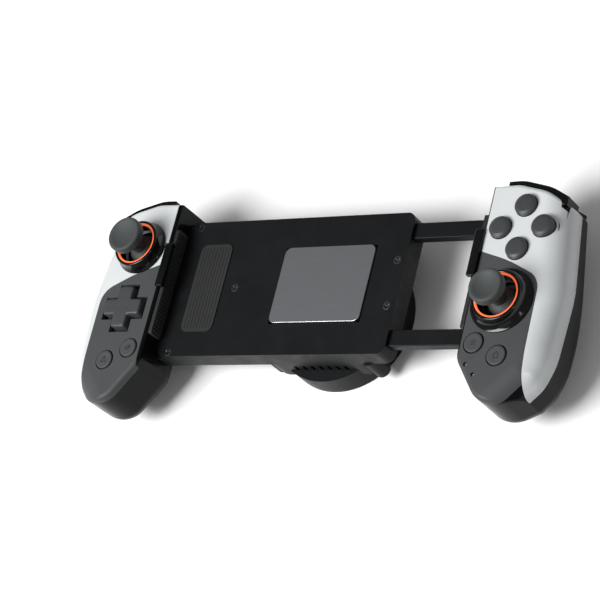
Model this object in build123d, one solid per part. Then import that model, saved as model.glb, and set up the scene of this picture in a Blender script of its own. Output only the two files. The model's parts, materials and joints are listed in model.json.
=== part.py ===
from build123d import *
import math
import os

# Cooling gamepad that clamps a phone between two handles.
# Millimetres. The origin is the centre of the cooling plate's contact face, where the phone's back lies.
# +X is to the right along the phone, +Y points to the triggers, +Z points to the player.

# Phone bay
phone_length = 147.6
phone_thickness = 7.8
clamp_pad_thickness = 2.0
clamp_pad_clearance = 0.2
inner_face_x = phone_length / 2 + clamp_pad_clearance + clamp_pad_thickness
slide_in = 37.0             # travel of the right handle towards a short phone
fit_gap = 0.1               # gap between parts that slide or drop into each other
seam_gap = 0.12             # visible seam between two covers

# Handle outline: distances outward from the inner face (u) and along Y
handle_width = 39.4
handle_top = 36.2
top_inner_drop = 0.4
top_bend_u = 11.7
top_bend_radius = 16.0
top_slope_u = 24.0
top_slope_drop = 3.3
top_slope_radius = 20.0
outer_top_inset = 4.2
outer_top_y = 26.6
outer_mid_y = -8.0
outer_mid_radius = 60.0
outer_low_inset = 1.6
outer_low_y = -36.0
outer_low_radius = 30.0
outer_heel_inset = 4.9
outer_heel_y = -45.5
outer_heel_radius = 14.0
outer_foot_inset = 9.9
outer_foot_y = -51.0
foot_slope_u = 22.5
foot_slope_y = -54.3
foot_slope_radius = 12.0
handle_foot_u = 13.5
handle_foot = -56.2
foot_radius = 11.0
inner_foot_y = -37.2
inner_foot_radius = 9.0

# Handle heights and roundings
face_z = 8.6
back_z = -18.5
shell_wall = 2.0
outer_round = 11.0          # roll-over of the white cover at the outer side
back_round = 8.0
edge_round = 2.0
seam_z = -3.0               # seam between the white cover and the rear shell
dark_seam_z = 5.0           # seam between the dark cover and the rear shell
taper_high_z = -3.2         # where the tapered flank of the rear shell starts at the top end
taper_low_z = -15.0         # and at the foot end
taper_low_y = -40.0
inner_border = 1.3          # rim of the rear shell that shows beside the phone
plate_under = face_z - shell_wall

# Line between the white and the dark cover
split_start_y = 9.5
split_bend_u = 14.0
split_bend_y = 3.1
split_bend_radius = 60.0
split_corner_u = 29.3
split_corner_y = -4.8
split_corner_radius = 9.0

# Circuit boards and switch sheets
board_top = -4.0
board_thickness = 1.2
board_inset = 3.0
board_inner_u = 6.3
rail_zone_y = 28.2
sheet_thickness = 0.8
dome_height = 1.6
dome_radius = 2.4
press_gap = 0.1

# Screws of the handles
post_radius = 2.6
screw_radius = 1.0
screw_head_radius = 1.9
screw_head_height = 1.4
screw_slot_reach = 1.2
screw_slot_half = 0.25
screw_slot_depth = 0.7
screw_sink = 1.4
screw_bite = 3.5
post_spots = [(4.9, 29.6), (32.2, -36.0), (10.0, 1.0), (22.5, -46.0)]   # two in each cover

# Face buttons and small buttons
face_pad_u = 17.0
face_pad_y = 16.9
face_pad_reach = 9.2
face_button_radius = 4.5
face_button_rise = 2.2
face_button_travel = 1.2
small_button_radius = 4.0
small_button_gap = 0.5
small_button_rise = 0.6
small_button_travel = 0.8
small_button_spots = [(7.0, -31.3), (18.0, -36.6)]
button_gap = 0.3
button_flange = 1.0
button_flange_thickness = 1.1
button_stem_radius = 1.8

# Indicator lights
led_spots = [(5.3, -40.0), (9.5, -44.2)]
led_radius = 0.6
led_hole_gap = 0.3
led_sink = 0.9

# Direction pad
dpad_u = 15.0
dpad_y = -13.0
dpad_reach = 9.3
dpad_arm = 7.0
dpad_rise = 2.1
dpad_gap = 1.6
dpad_skirt_radius = 11.0
dpad_skirt_thickness = 1.2
dpad_skirt_drop = 1.2
dpad_plunger_radius = 1.4
dpad_plunger_reach = 7.0
rocker_radius = 2.0
rocker_top = 3.0
rocker_cross_z = 2.0
rocker_base_z = -2.0
dpad_hub_radius = 3.7
dpad_hub_gap = 0.35

# Thumb sticks
stick_spots = {"right": (15.3, -14.0), "left": (14.4, 15.0)}
stick_pivot_z = 1.0
stick_case_half = 8.0
stick_case_wall = 1.4
stick_case_top = 4.7
ring_frame_half = 6.0
ring_frame_hole = 4.3
ring_frame_height = 3.0
pin_radius = 0.9
pin_gap = 0.05
stem_radius = 2.0
stem_top = 19.4
stem_block = (5.0, 7.6, 3.0)
stick_cap_radius = {"right": 7.2, "left": 7.9}
stick_cap_top = 22.9
stick_cap_rim = 4.0
stick_cap_dish = 1.4
stick_neck_radius = 3.0
stick_neck_bottom = 8.0
stick_shoulder_radius = 4.8
stick_shoulder_drop = 1.2
stick_dome_radius = 9.8     # ball-shaped skirt about the pivot
stick_dome_reach = 6.0
stick_click = 0.5
stick_bore = 8.6
collar_base_radius = {"right": 13.3, "left": 11.9}
collar_top_radius = 10.1
collar_rise = 5.5
collar_wall_round = 0.8
light_ring_width = 0.8
light_ring_height = 1.0
light_ring_sink = 0.3

# Shoulder bumpers
bumper_start_u = 5.5
bumper_end_u = 33.0
bumper_low_z = -2.6
bumper_high_z = 6.1
bumper_rise = 2.4
bumper_depth = 1.0
bumper_travel_room = 1.6
bumper_pivot_u = 8.5
bumper_pivot_drop = 3.4
bumper_pivot_radius = 1.6

# Triggers
trigger_start_u = 7.6
trigger_end_u = 31.0
trigger_top_z = -4.2
trigger_low_z = -13.0
trigger_rise = 1.2
trigger_flare = 10.0
trigger_depth = 1.4
trigger_room = 2.6
trigger_swing_room = 3.2    # the low end sinks this far as it is pulled
trigger_pivot_y = 24.0
trigger_pivot_z = -7.9
trigger_hub_radius = 2.1
trigger_arm_width = 3.0
trigger_arm_thickness = 2.4
trigger_pin_radius = 1.0
trigger_running_gap = 0.04
trigger_bracket = 1.8
trigger_bracket_lead = 1.3  # the inner bracket starts this far before the trigger
trigger_bracket_half = 2.6
trigger_bracket_rise = 2.4  # above the pin's centre
trigger_end_gap = 0.3

# Phone clamp parts
lip_low_y = -3.5
lip_high_y = 16.3
lip_overhang = 2.4
lip_rise = 1.6
lip_phone_gap = 0.2
clamp_pad_half = 24.0
clamp_pad_low_z = 0.5
clamp_pad_high_z = 7.3

# Bridge behind the phone
bridge_half_width = 31.0
bridge_back_z = -10.0
bridge_front_z = -0.8
bridge_end_x = 37.0
bridge_cover_thickness = 1.6
bridge_flange_half = 18.0
bridge_flange_low_z = -9.0
bridge_flange_high_z = -3.0
bridge_corner = 4.0
rail_y = 23.5
rail_width = 7.0
rail_height = 4.0
rail_end_x = 36.0           # inner end of each rail, left of the centre line
cross_bar_width = 3.4
spring_slot_y = 17.0
spring_slot_width = 5.4
spring_slot_end_x = 14.0
spring_radius = 1.9
spring_wire = 0.3
spring_turns = 24
spring_hook_x = 10.0        # lug of the rail that the spring pulls, left of the centre line
spring_wall = 2.6
window_half_x = 14.0
window_half_y = 12.0
grip_strip_x = 58.0
grip_strip_length = 16.0
grip_strip_width = 40.0

# Cooling stack
cold_plate_x = 44.0
cold_plate_y = 34.0
cold_plate_thickness = 1.5
peltier_side = 20.0
peltier_thickness = 3.2
sink_neck_x = 26.0
sink_neck_y = 22.0
sink_base_side = 44.0
sink_base_thickness = 2.0
sink_board_gap = 0.8
sink_fin_bottom = -17.6
sink_fin_thickness = 1.0
sink_fin_pitch = 3.6
cooler_half_x = 28.5
cooler_half_y = 31.0
cooler_corner = 10.0
cooler_wall = 1.8
cooler_base_z = -20.0
turret_centre_y = -6.0
turret_radius = 30.0
turret_wall = 1.8
turret_back_z = -27.0
grille_thickness = 1.6
grille_hub_radius = 9.0
grille_spokes = 24
grille_spoke_width = 1.3
grille_rings = [14.0, 19.0, 24.0]
grille_ring_half = 0.6
grille_ring_sink = 0.3
fan_radius = 25.0
fan_hub_radius = 9.5
fan_blades = 9
fan_front_z = -20.9
fan_back_z = -24.9
fan_shaft_radius = 1.0
duct_gap = 0.8
fan_spoke_width = 3.0
vent_count = 7
vent_width = 1.6
vent_pitch = 4.0
bridge_screw_spots = [(-70.0, 28.9), (-70.0, -28.9), (33.0, 10.0), (33.0, -10.0), (-44.0, 0.0)]
bridge_screw_foot = 3.0
lug_radius = 3.4
lug_spots = [(24.5, -28.6), (-24.5, 27.0), (24.5, 27.0), (-24.5, -26.0)]
cooler_screw_bite = 2.4
socket_width = 9.0
socket_height = 3.2
socket_depth = 7.0
power_board_half = 11.0
power_board_thickness = 1.0
power_board_gap = 0.2
socket_inset = 0.4
socket_wall = 0.5
socket_mouth_depth = 4.1
socket_overhang = 0.6

os.makedirs("parts", exist_ok=True)
solids = {}


# Small helpers

def unit(a, b):
    length = math.hypot(b[0] - a[0], b[1] - a[1])
    return (b[0] - a[0]) / length, (b[1] - a[1]) / length


def rounded_outline(corners):
    """Closed wire through the corners (x, y, radius); a radius of 0 leaves the corner sharp."""
    arcs = []
    count = len(corners)
    for k, (x, y, radius) in enumerate(corners):
        before = unit(corners[k - 1], (x, y))
        after = unit((x, y), corners[(k + 1) % count])
        turn = math.acos(before[0] * after[0] + before[1] * after[1])
        run = radius * math.tan(turn / 2)
        bisector = unit((0, 0), (after[0] - before[0], after[1] - before[1]))
        sagitta = radius / math.cos(turn / 2) - radius
        start = (x - run * before[0], y - run * before[1])
        middle = (x + sagitta * bisector[0], y + sagitta * bisector[1])
        end = (x + run * after[0], y + run * after[1])
        arcs.append((start, middle, end, radius > 0))
    edges = []
    for k, (start, middle, end, is_arc) in enumerate(arcs):
        if is_arc:
            edges.append(ThreePointArc(start, middle, end))
        edges.append(Line(end, arcs[(k + 1) % count][0]))
    return Wire(edges)


def prism(profile, low, high):
    return extrude(Pos(0, 0, low) * profile, high - low, dir=(0, 0, 1))


def block(x0, x1, y0, y1, z0, z1):
    return Pos((x0 + x1) / 2, (y0 + y1) / 2, (z0 + z1) / 2) * Box(x1 - x0, y1 - y0, z1 - z0)


def rod(x, y, low, high, radius):
    return Pos(x, y, (low + high) / 2) * Cylinder(radius, high - low)


def rod_x(x0, x1, y, z, radius):
    return Pos((x0 + x1) / 2, y, z) * Rot(0, 90, 0) * Cylinder(radius, x1 - x0)


def rod_y(x, y0, y1, z, radius):
    return Pos(x, (y0 + y1) / 2, z) * Rot(90, 0, 0) * Cylinder(radius, y1 - y0)


def rounded_block(x0, x1, y0, y1, z0, z1, radius):
    solid = block(x0, x1, y0, y1, z0, z1)
    return fillet(solid.edges().filter_by(Axis.Z), radius)


def union(pieces):
    first = pieces[0]
    for piece in pieces[1:]:
        first = first + piece
    return first


def keep(name, *pieces):
    found = [solid for piece in pieces for solid in piece.solids()]
    solids[name] = found[0] if len(found) == 1 else Compound(children=found)


def keep_side(side, name, *pieces):
    """Pieces are modelled for the right hand; the left hand is their mirror image."""
    if side == "left":
        pieces = [mirror(piece, about=Plane.YZ) for piece in pieces]
    keep(f"{side}_{name}", *pieces)


# Handle form

def u(distance):
    return inner_face_x + distance


outer_x = u(handle_width)
handle_corners = [
    (u(0), handle_top - top_inner_drop, 0),
    (u(top_bend_u), handle_top, top_bend_radius),
    (u(top_slope_u), handle_top - top_slope_drop, top_slope_radius),
    (outer_x - outer_top_inset, outer_top_y, 0),
    (outer_x, outer_mid_y, outer_mid_radius),
    (outer_x - outer_low_inset, outer_low_y, outer_low_radius),
    (outer_x - outer_heel_inset, outer_heel_y, outer_heel_radius),
    (outer_x - outer_foot_inset, outer_foot_y, 0),
    (u(foot_slope_u), foot_slope_y, foot_slope_radius),
    (u(handle_foot_u), handle_foot, foot_radius),
    (u(0), inner_foot_y, inner_foot_radius),
]
handle_wire = rounded_outline(handle_corners)
handle_face = make_face(handle_wire)


def handle_plan(inset):
    """Plan of the handle, moved inward by a positive inset and outward by a negative one."""
    if inset == 0:
        return handle_face
    return offset(handle_face, -inset, kind=Kind.INTERSECTION)


def taper_plane(inset):
    """Flank that thins the rear shell towards the top end; its normal points into the handle."""
    high = Vector(outer_x, outer_top_y, taper_high_z)
    low = Vector(outer_x, taper_low_y, taper_low_z)
    back = Vector(outer_x - 10, outer_top_y, taper_high_z - 10)
    normal = (back - high).cross(low - high).normalized()
    if normal.X > 0:
        normal = normal * -1
    return Plane(origin=high + normal * inset, z_dir=normal)


def handle_form(inset):
    """Solid form of the handle with all its roundings, moved inward by the inset."""
    plan = handle_plan(inset)
    rim = plan.faces()[0].outer_wire()
    top = face_z - inset
    form = prism(plan, back_z + inset, top)
    front = form.faces().sort_by(Axis.Z)[-1]

    def beside_outer(edge):
        middle = edge @ 0.5
        low_x = outer_x - outer_foot_inset - inset
        return middle.X > low_x and outer_foot_y < middle.Y < outer_top_y

    form = fillet([edge for edge in front.edges() if beside_outer(edge)], outer_round - inset)
    form = fillet(form.faces().sort_by(Axis.Z)[0].edges(), back_round - inset)

    def on_rim(edge):
        middle = edge @ 0.5
        high = middle.Z > top - outer_round + inset + edge_round / 4
        level = abs(edge.tangent_at(0.5).Z) < 0.999
        return high and level and rim.distance_to(Vertex(middle.X, middle.Y, 0)) < 0.01

    def at_outer_corner(edge):
        middle = edge @ 0.5
        corners = [corner for corner in handle_corners[1:] if corner[2] == 0]
        return any(math.hypot(middle.X - x, middle.Y - y) < 2 * inset + 0.1 for x, y, _ in corners)

    soft_edges = [edge for edge in form.edges() if on_rim(edge)]
    soft_edges += [edge for edge in form.edges().filter_by(Axis.Z) if at_outer_corner(edge)]
    form = fillet(soft_edges, max(edge_round - inset, 0.5))
    return split(form, bisect_by=taper_plane(inset), keep=Keep.TOP)


outer_form = handle_form(0)
mid_wall_form = handle_form(shell_wall / 2)
cavity_form = handle_form(shell_wall)


# Places on the handle that both the covers and what sits under them use

face_pad = (u(face_pad_u), face_pad_y)
face_button_spots = {
    "top": (face_pad[0], face_pad[1] + face_pad_reach),
    "right": (face_pad[0] + face_pad_reach, face_pad[1]),
    "bottom": (face_pad[0], face_pad[1] - face_pad_reach),
    "left": (face_pad[0] - face_pad_reach, face_pad[1]),
}
small_spots = [(u(du), y) for du, y in small_button_spots]
screw_spots = [(u(du), y) for du, y in post_spots]
dpad_spot = (u(dpad_u), dpad_y)
stick_spot = {side: (u(du), y) for side, (du, y) in stick_spots.items()}
board_bottom = board_top - board_thickness
sheet_top = board_top + sheet_thickness
dome_top = sheet_top + dome_height


def cross_face(x, y, reach, arm):
    return Pos(x, y) * (Rectangle(2 * reach, arm) + Rectangle(arm, 2 * reach))


def band(u0, u1, low, high, outward, inward):
    """Strip that follows the handle's top edge, from outside the outline to inside it."""
    ring = prism(handle_plan(-outward), low, high) - prism(handle_plan(inward), low, high)
    clip = block(u(u0), u(u1), outer_top_y - 8, handle_top + 20, low, high)
    return ring & clip


# Covers and rear shell

split_corners = [
    (u(-6), split_start_y, 0),
    (u(split_bend_u), split_bend_y, split_bend_radius),
    (u(split_corner_u), split_corner_y, split_corner_radius),
    (u(split_corner_u), handle_foot - 10, 0),
    (u(-6), handle_foot - 10, 0),
]
dark_region = make_face(rounded_outline(split_corners))


def bumper_window():
    room = bumper_depth + bumper_travel_room
    return band(bumper_start_u - 0.3, bumper_end_u + 0.3, bumper_low_z - 0.3, bumper_high_z + 0.3,
                8, room)


def trigger_window():
    low = trigger_low_z - trigger_swing_room
    room = trigger_depth + trigger_room
    return band(trigger_start_u - 0.3, trigger_end_u + 0.3, low, trigger_top_z + 0.3, 12, room)


def control_holes(side):
    low = seam_z
    high = face_z + collar_rise
    holes = []
    for x, y in small_spots:
        holes.append(rod(x, y, low, high, small_button_radius + small_button_gap))
    x, y = stick_spot[side]
    holes.append(rod(x, y, low, high, stick_bore))
    if side == "right":
        for x, y in face_button_spots.values():
            holes.append(rod(x, y, low, high, face_button_radius + button_gap))
        for du, y in led_spots:
            holes.append(rod(u(du), y, low, high, led_radius + led_hole_gap))
    else:
        opening = cross_face(*dpad_spot, dpad_reach + dpad_gap, dpad_arm + 2 * dpad_gap)
        holes.append(prism(opening, low, high))
    return holes


def flange_pockets(side):
    """Room under the covers for the collars that keep the buttons in."""
    reach = button_flange + 0.3
    pockets = [rod(x, y, seam_z, plate_under, small_button_radius + reach) for x, y in small_spots]
    if side == "right":
        for x, y in face_button_spots.values():
            pockets.append(rod(x, y, seam_z, plate_under, face_button_radius + reach))
    return pockets


def cover_bosses(in_dark):
    bosses = []
    for k, (x, y) in enumerate(screw_spots):
        if (k >= 2) == in_dark:
            boss = rod(x, y, board_top, face_z, post_radius) & mid_wall_form
            hole = rod(x, y, board_top, board_top + screw_bite + 0.5, screw_radius)
            bosses.append(boss - hole)
    return bosses


def make_covers(side):
    skin = outer_form - cavity_form
    skin = skin & block(u(inner_border), outer_x + 5, handle_foot - 5, handle_top + 5, seam_z, face_z)
    light_prism = prism(offset(dark_region, seam_gap), seam_z, face_z)
    for in_dark, name in ((False, "white_cover"), (True, "dark_cover")):
        cover = skin & prism(dark_region, dark_seam_z, face_z) if in_dark else skin - light_prism
        cover = union([cover] + cover_bosses(in_dark))
        for hole in control_holes(side) + flange_pockets(side):
            cover = cover - hole
        if side == "right":
            for y in (rail_y, -rail_y):
                cover = cover - rail_box(u(-1), u(shell_wall + 1), y, fit_gap / 2)
        if not in_dark:
            cover = cover - bumper_window()
        keep_side(side, name, max(cover.solids(), key=lambda solid: solid.volume))


def crossed_slot(x, y, z0, z1):
    slot = block(x - screw_slot_reach, x + screw_slot_reach, y - screw_slot_half, y + screw_slot_half,
                 z0, z1)
    cross = block(x - screw_slot_half, x + screw_slot_half, y - screw_slot_reach, y + screw_slot_reach,
                  z0, z1)
    return slot + cross


def rail_box(x0, x1, y, gap):
    half = rail_width / 2 + gap
    return block(x0, x1, y - half, y + half, rail_low_z - gap, rail_high_z + gap)


rail_high_z = bridge_front_z - bridge_cover_thickness - fit_gap
rail_low_z = rail_high_z - rail_height
cross_bar_x = u(shell_wall + 0.3)


def make_rear_shell(side):
    stays = [rod(x, y, back_z, board_bottom, post_radius) for x, y in screw_spots]
    low_y = trigger_pivot_y - trigger_bracket_half
    high_y = trigger_pivot_y + trigger_bracket_half
    for bracket_u in (trigger_start_u - trigger_bracket_lead,
                      trigger_end_u - trigger_bracket - trigger_end_gap):
        x = u(bracket_u)
        stays.append(block(x, x + trigger_bracket, low_y, high_y, back_z,
                           trigger_pivot_z + trigger_bracket_rise))
    shell = outer_form - (cavity_form - stays)
    low = seam_z - seam_gap
    front = block(u(inner_border - seam_gap), outer_x + 5, handle_foot - 5, handle_top + 5, low,
                  face_z + 1)
    shell = shell - (front - prism(dark_region, low, dark_seam_z - seam_gap))
    for hole in control_holes(side) + flange_pockets(side):
        shell = shell - hole
    for x, y in screw_spots:
        shell = shell - rod(x, y, back_z - 1, board_bottom + 1, screw_radius + fit_gap)
        head_top = back_z + screw_sink + screw_head_height
        shell = shell - rod(x, y, back_z - 1, head_top, screw_head_radius + fit_gap)
    pin_low = u(trigger_start_u - trigger_bracket_lead)
    pin_high = u(trigger_end_u - trigger_end_gap)
    shell = shell - rod_x(pin_low, pin_high, trigger_pivot_y, trigger_pivot_z, trigger_pin_radius)
    shell = shell - trigger_window() - bumper_window()
    if side == "right":
        for y in (rail_y, -rail_y):
            shell = shell - rail_box(u(-1), u(shell_wall + 1), y, fit_gap / 2)
    else:
        half = bridge_flange_half
        shell = shell - block(u(-1), u(shell_wall + 1), -half, half, bridge_flange_low_z,
                              bridge_flange_high_z)
    keep_side(side, "rear_shell", max(shell.solids(), key=lambda solid: solid.volume))


def make_shell_screws(side):
    screws = []
    for x, y in screw_spots:
        low = back_z + screw_sink
        screw = rod(x, y, low, low + screw_head_height, screw_head_radius)
        screw = screw + rod(x, y, low, board_top + screw_bite, screw_radius)
        screws.append(screw - crossed_slot(x, y, low - 1, low + screw_slot_depth))
    keep_side(side, "shell_screws", *screws)


# Boards and switch sheets

def make_board(side):
    plan = handle_plan(board_inset)
    board = prism(plan, board_bottom, board_top)
    board = board - block(u(-5), u(board_inner_u), -rail_zone_y, handle_top, back_z, face_z)
    for x, y in screw_spots:
        board = board - rod(x, y, back_z, face_z, screw_radius + fit_gap)
    x, y = dpad_spot
    if side == "left":
        for dx in (-1, 1):
            inner = rocker_radius + 0.5
            ear = Pos(x + dx * (inner + 0.6), y, (board_top - 0.2) / 2 - 0.4)
            ear = ear * Box(1.2, 3.6, -board_top - 0.2 + 0.4)
            board = board + ear
        board = board - rod_x(x - 5, x + 5, y, rocker_base_z, pin_radius + pin_gap)
        board = board - rod(x, y, back_z, board_top + 0.1, rocker_radius)
    keep_side(side, "circuit_board", board)


def dome(x, y):
    return rod(x, y, sheet_top, dome_top, dome_radius)


def make_sheets(side):
    sheets = []
    small = [rod(x, y, board_top, sheet_top, small_button_radius + 0.6) for x, y in small_spots]
    (x0, y0), (x1, y1) = small_spots
    angle = math.degrees(math.atan2(y1 - y0, x1 - x0))
    bridge = Pos((x0 + x1) / 2, (y0 + y1) / 2, (board_top + sheet_top) / 2) * Rot(0, 0, angle)
    small.append(bridge * Box(math.hypot(x1 - x0, y1 - y0), 4, sheet_thickness))
    small += [dome(x, y) for x, y in small_spots]
    sheets.append(union(small))
    if side == "right":
        spots = list(face_button_spots.values())
        x, y = face_pad
        reach = face_pad_reach
    else:
        x, y = dpad_spot
        reach = dpad_plunger_reach
        spots = [(x + reach, y), (x - reach, y), (x, y + reach), (x, y - reach)]
    pad = [rod(sx, sy, board_top, sheet_top, dome_radius + 1.4) for sx, sy in spots]
    pad.append(prism(cross_face(x, y, reach, 2 * dome_radius), board_top, sheet_top))
    pad += [dome(sx, sy) for sx, sy in spots]
    sheet = union(pad)
    if side == "left":
        sheet = sheet - rod(x, y, back_z, face_z, rocker_radius + 2.9)
        sheets += list(sheet.solids())
    else:
        sheets.append(sheet)
    slider_room = block(u(-5), u(board_inner_u), -rail_zone_y, rail_zone_y, back_z, face_z)
    sheets = [sheet - slider_room for sheet in sheets]
    keep_side(side, "switch_sheet", *sheets)


# Buttons

def push_button(x, y, radius, top, travel):
    flange_top = plate_under - press_gap
    flange_low = flange_top - button_flange_thickness
    cap = rod(x, y, flange_low, top, radius)
    cap = fillet(cap.edges().sort_by(Axis.Z)[-1], min(0.8, 0.8 * (top - face_z) + 0.1))
    cap = cap + rod(x, y, flange_low, flange_top, radius + button_flange)
    return cap + rod(x, y, dome_top + travel + press_gap, flange_low, button_stem_radius)


def make_buttons():
    for place, (x, y) in face_button_spots.items():
        cap = push_button(x, y, face_button_radius, face_z + face_button_rise, face_button_travel)
        keep(f"face_button_{place}", cap)
    for side, names in (("left", ("view_button", "share_button")),
                        ("right", ("menu_button", "home_button"))):
        for name, (x, y) in zip(names, small_spots):
            cap = push_button(x, y, small_button_radius, face_z + small_button_rise, small_button_travel)
            if side == "left":
                cap = mirror(cap, about=Plane.YZ)
            keep(name, cap)


def make_led_lenses():
    lenses = []
    for du, y in led_spots:
        lenses.append(rod(u(du), y, seam_z + fit_gap, face_z - led_sink, led_radius))
    keep("indicator_lenses", *lenses)


# Direction pad on its rocking post

def make_dpad():
    x, y = dpad_spot
    skirt_top = plate_under - dpad_skirt_drop
    skirt_low = skirt_top - dpad_skirt_thickness
    cross = prism(cross_face(x, y, dpad_reach, dpad_arm), skirt_low, face_z + dpad_rise)
    cross = fillet(cross.faces().sort_by(Axis.Z)[-1].edges(), 0.5)
    pad = cross + rod(x, y, skirt_low, skirt_top, dpad_skirt_radius)
    pad = pad + rod(x, y, rocker_cross_z - 1.8, skirt_low, dpad_hub_radius)
    pad = pad - rod(x, y, rocker_cross_z - 3, rocker_top + 0.4, rocker_radius + dpad_hub_gap)
    pad = pad - rod_y(x, y - 6, y + 6, rocker_cross_z, pin_radius + pin_gap)
    for dx, dy in ((1, 0), (-1, 0), (0, 1), (0, -1)):
        px = x + dx * dpad_plunger_reach
        py = y + dy * dpad_plunger_reach
        pad = pad + rod(px, py, dome_top + 0.8, skirt_low, dpad_plunger_radius)
    keep("direction_pad", mirror(pad, about=Plane.YZ))
    post = rod(x, y, rocker_base_z - 1.2, rocker_top, rocker_radius)
    post = post + rod_x(x - rocker_radius - 1.7, x + rocker_radius + 1.7, y, rocker_base_z, pin_radius)
    post = post + rod_y(x, y - dpad_hub_radius, y + dpad_hub_radius, rocker_cross_z, pin_radius)
    keep("direction_pad_post", mirror(post, about=Plane.YZ))


# Thumb sticks

def make_stick(side):
    x, y = stick_spot[side]
    half = stick_case_half
    inner = half - stick_case_wall
    case = block(x - half, x + half, y - half, y + half, board_top, stick_case_top)
    case = case - block(x - inner, x + inner, y - inner, y + inner, board_top + 1, stick_case_top + 1)
    case = case - rod_x(x - half - 1, x + half + 1, y, stick_pivot_z, pin_radius + pin_gap)
    case = case + block(x - 4, x + 4, y + half, y + half + 1.8, board_top, stick_case_top - 2)
    keep_side(side, "stick_module", case)

    ring = block(x - ring_frame_half, x + ring_frame_half, y - ring_frame_half, y + ring_frame_half,
                 stick_pivot_z - ring_frame_height / 2, stick_pivot_z + ring_frame_height / 2)
    hole = ring_frame_hole
    ring = ring - block(x - hole, x + hole, y - hole, y + hole, board_top, stick_case_top)
    reach = half - 0.2
    for start, end in ((x - reach, x - ring_frame_half), (x + ring_frame_half, x + reach)):
        ring = ring + rod_x(start, end, y, stick_pivot_z, pin_radius)
    ring = ring - rod_y(x, y - half, y + half, stick_pivot_z, pin_radius + pin_gap)
    keep_side(side, "stick_gimbal", ring)

    bx, by, bz = stem_block
    stem = Pos(x, y, stick_pivot_z) * Box(bx, by, bz)
    stem = stem + rod(x, y, stick_pivot_z, stem_top, stem_radius)
    stem = stem + rod_y(x, y - ring_frame_half + 0.3, y + ring_frame_half - 0.3, stick_pivot_z,
                        pin_radius)
    keep_side(side, "stick_stem", stem)

    rim_low = stick_cap_top - stick_cap_rim
    shoulder_z = rim_low - stick_shoulder_drop
    radius = stick_cap_radius[side]
    dome = []
    for k in range(4):
        reach = stick_dome_reach + (stick_neck_radius - stick_dome_reach) * k / 3
        dome.append((reach, stick_pivot_z + math.sqrt(stick_dome_radius ** 2 - reach ** 2)))
    outline = Polyline(
        (0, stick_neck_bottom), (stick_dome_reach, stick_neck_bottom), *dome,
        (stick_neck_radius, shoulder_z - 1.4),
        (stick_shoulder_radius, shoulder_z), (radius - 0.8, rim_low), (radius, rim_low + 0.9),
        (radius, stick_cap_top - 0.9), (radius - 0.9, stick_cap_top),
        (radius - 1.7, stick_cap_top), (radius - 2.6, stick_cap_top - 0.7),
        (0, stick_cap_top - stick_cap_dish), close=True)
    profile = make_face(Plane.XZ * outline)
    cap = revolve(profile, Axis.Z)
    cap = Pos(x, y, 0) * cap
    cap = cap - rod(x, y, stick_neck_bottom - 1, stem_top + stick_click + 0.2, stem_radius + pin_gap)
    keep_side(side, "stick_cap", cap)


def make_collar(side):
    x, y = stick_spot[side]
    top = face_z + collar_rise
    ring_outer = stick_bore + light_ring_width
    ring_low = top - light_ring_sink - light_ring_height
    outline = Polyline(
        (stick_bore, face_z), (collar_base_radius[side], face_z),
        (collar_base_radius[side], face_z + 0.8),
        (collar_top_radius + 0.7, top - 0.6), (collar_top_radius, top), (ring_outer + fit_gap, top),
        (ring_outer + fit_gap, ring_low), (stick_bore, ring_low), close=True)
    collar = Pos(x, y, 0) * revolve(make_face(Plane.XZ * outline), Axis.Z)
    keep_side(side, "stick_collar", collar)
    ring = rod(x, y, ring_low, top - light_ring_sink, ring_outer) - rod(x, y, ring_low, top, stick_bore)
    keep_side(side, "stick_light_ring", ring)


# Bumpers and triggers

def make_bumper(side):
    bar = band(bumper_start_u, bumper_end_u, bumper_low_z, bumper_high_z, bumper_rise, bumper_depth)
    bar = max(bar.solids(), key=lambda solid: solid.volume)
    x = u(bumper_pivot_u)
    y = handle_top - bumper_pivot_drop
    bar = bar + rod(x, y, bumper_low_z, bumper_high_z, bumper_pivot_radius)
    bar = bar + block(x - 1, x + 1, y, handle_top - bumper_depth - 0.1, bumper_low_z, bumper_high_z)
    keep_side(side, "bumper", bar)


def make_trigger(side):
    outward = prism_tapered(trigger_rise, trigger_top_z, trigger_low_z, trigger_flare)
    inward = prism(handle_plan(trigger_depth), trigger_low_z, trigger_top_z)
    clip = block(u(trigger_start_u), u(trigger_end_u), outer_top_y - 5, handle_top + 20,
                 trigger_low_z, trigger_top_z)
    shell = (outward - inward) & clip
    shell = max(shell.solids(), key=lambda solid: solid.volume)
    hub = rod_x(u(trigger_start_u + 0.9), u(trigger_end_u - trigger_bracket - 1.0),
                trigger_pivot_y, trigger_pivot_z,
                trigger_hub_radius)
    trigger = shell + hub
    for arm_u in (trigger_start_u + 3, trigger_end_u - trigger_arm_width - 6):
        x = u(arm_u)
        z = trigger_pivot_z - trigger_arm_thickness / 2
        arm = block(x, x + trigger_arm_width, trigger_pivot_y, handle_top + 1, z,
                    z + trigger_arm_thickness)
        trigger = trigger + (arm & prism(handle_plan(trigger_depth / 2), back_z, face_z))
    bore = rod_x(u(0), outer_x, trigger_pivot_y, trigger_pivot_z,
                 trigger_pin_radius + trigger_running_gap)
    keep_side(side, "trigger", trigger - bore)
    pin = rod_x(u(trigger_start_u - trigger_bracket_lead), u(trigger_end_u - trigger_end_gap),
                trigger_pivot_y,
                trigger_pivot_z, trigger_pin_radius)
    keep_side(side, "trigger_pin", pin)


def prism_tapered(outward, high, low, taper):
    profile = Pos(0, 0, high) * handle_plan(-outward)
    return extrude(profile, high - low, dir=(0, 0, -1), taper=-taper)


# Phone clamp

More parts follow.
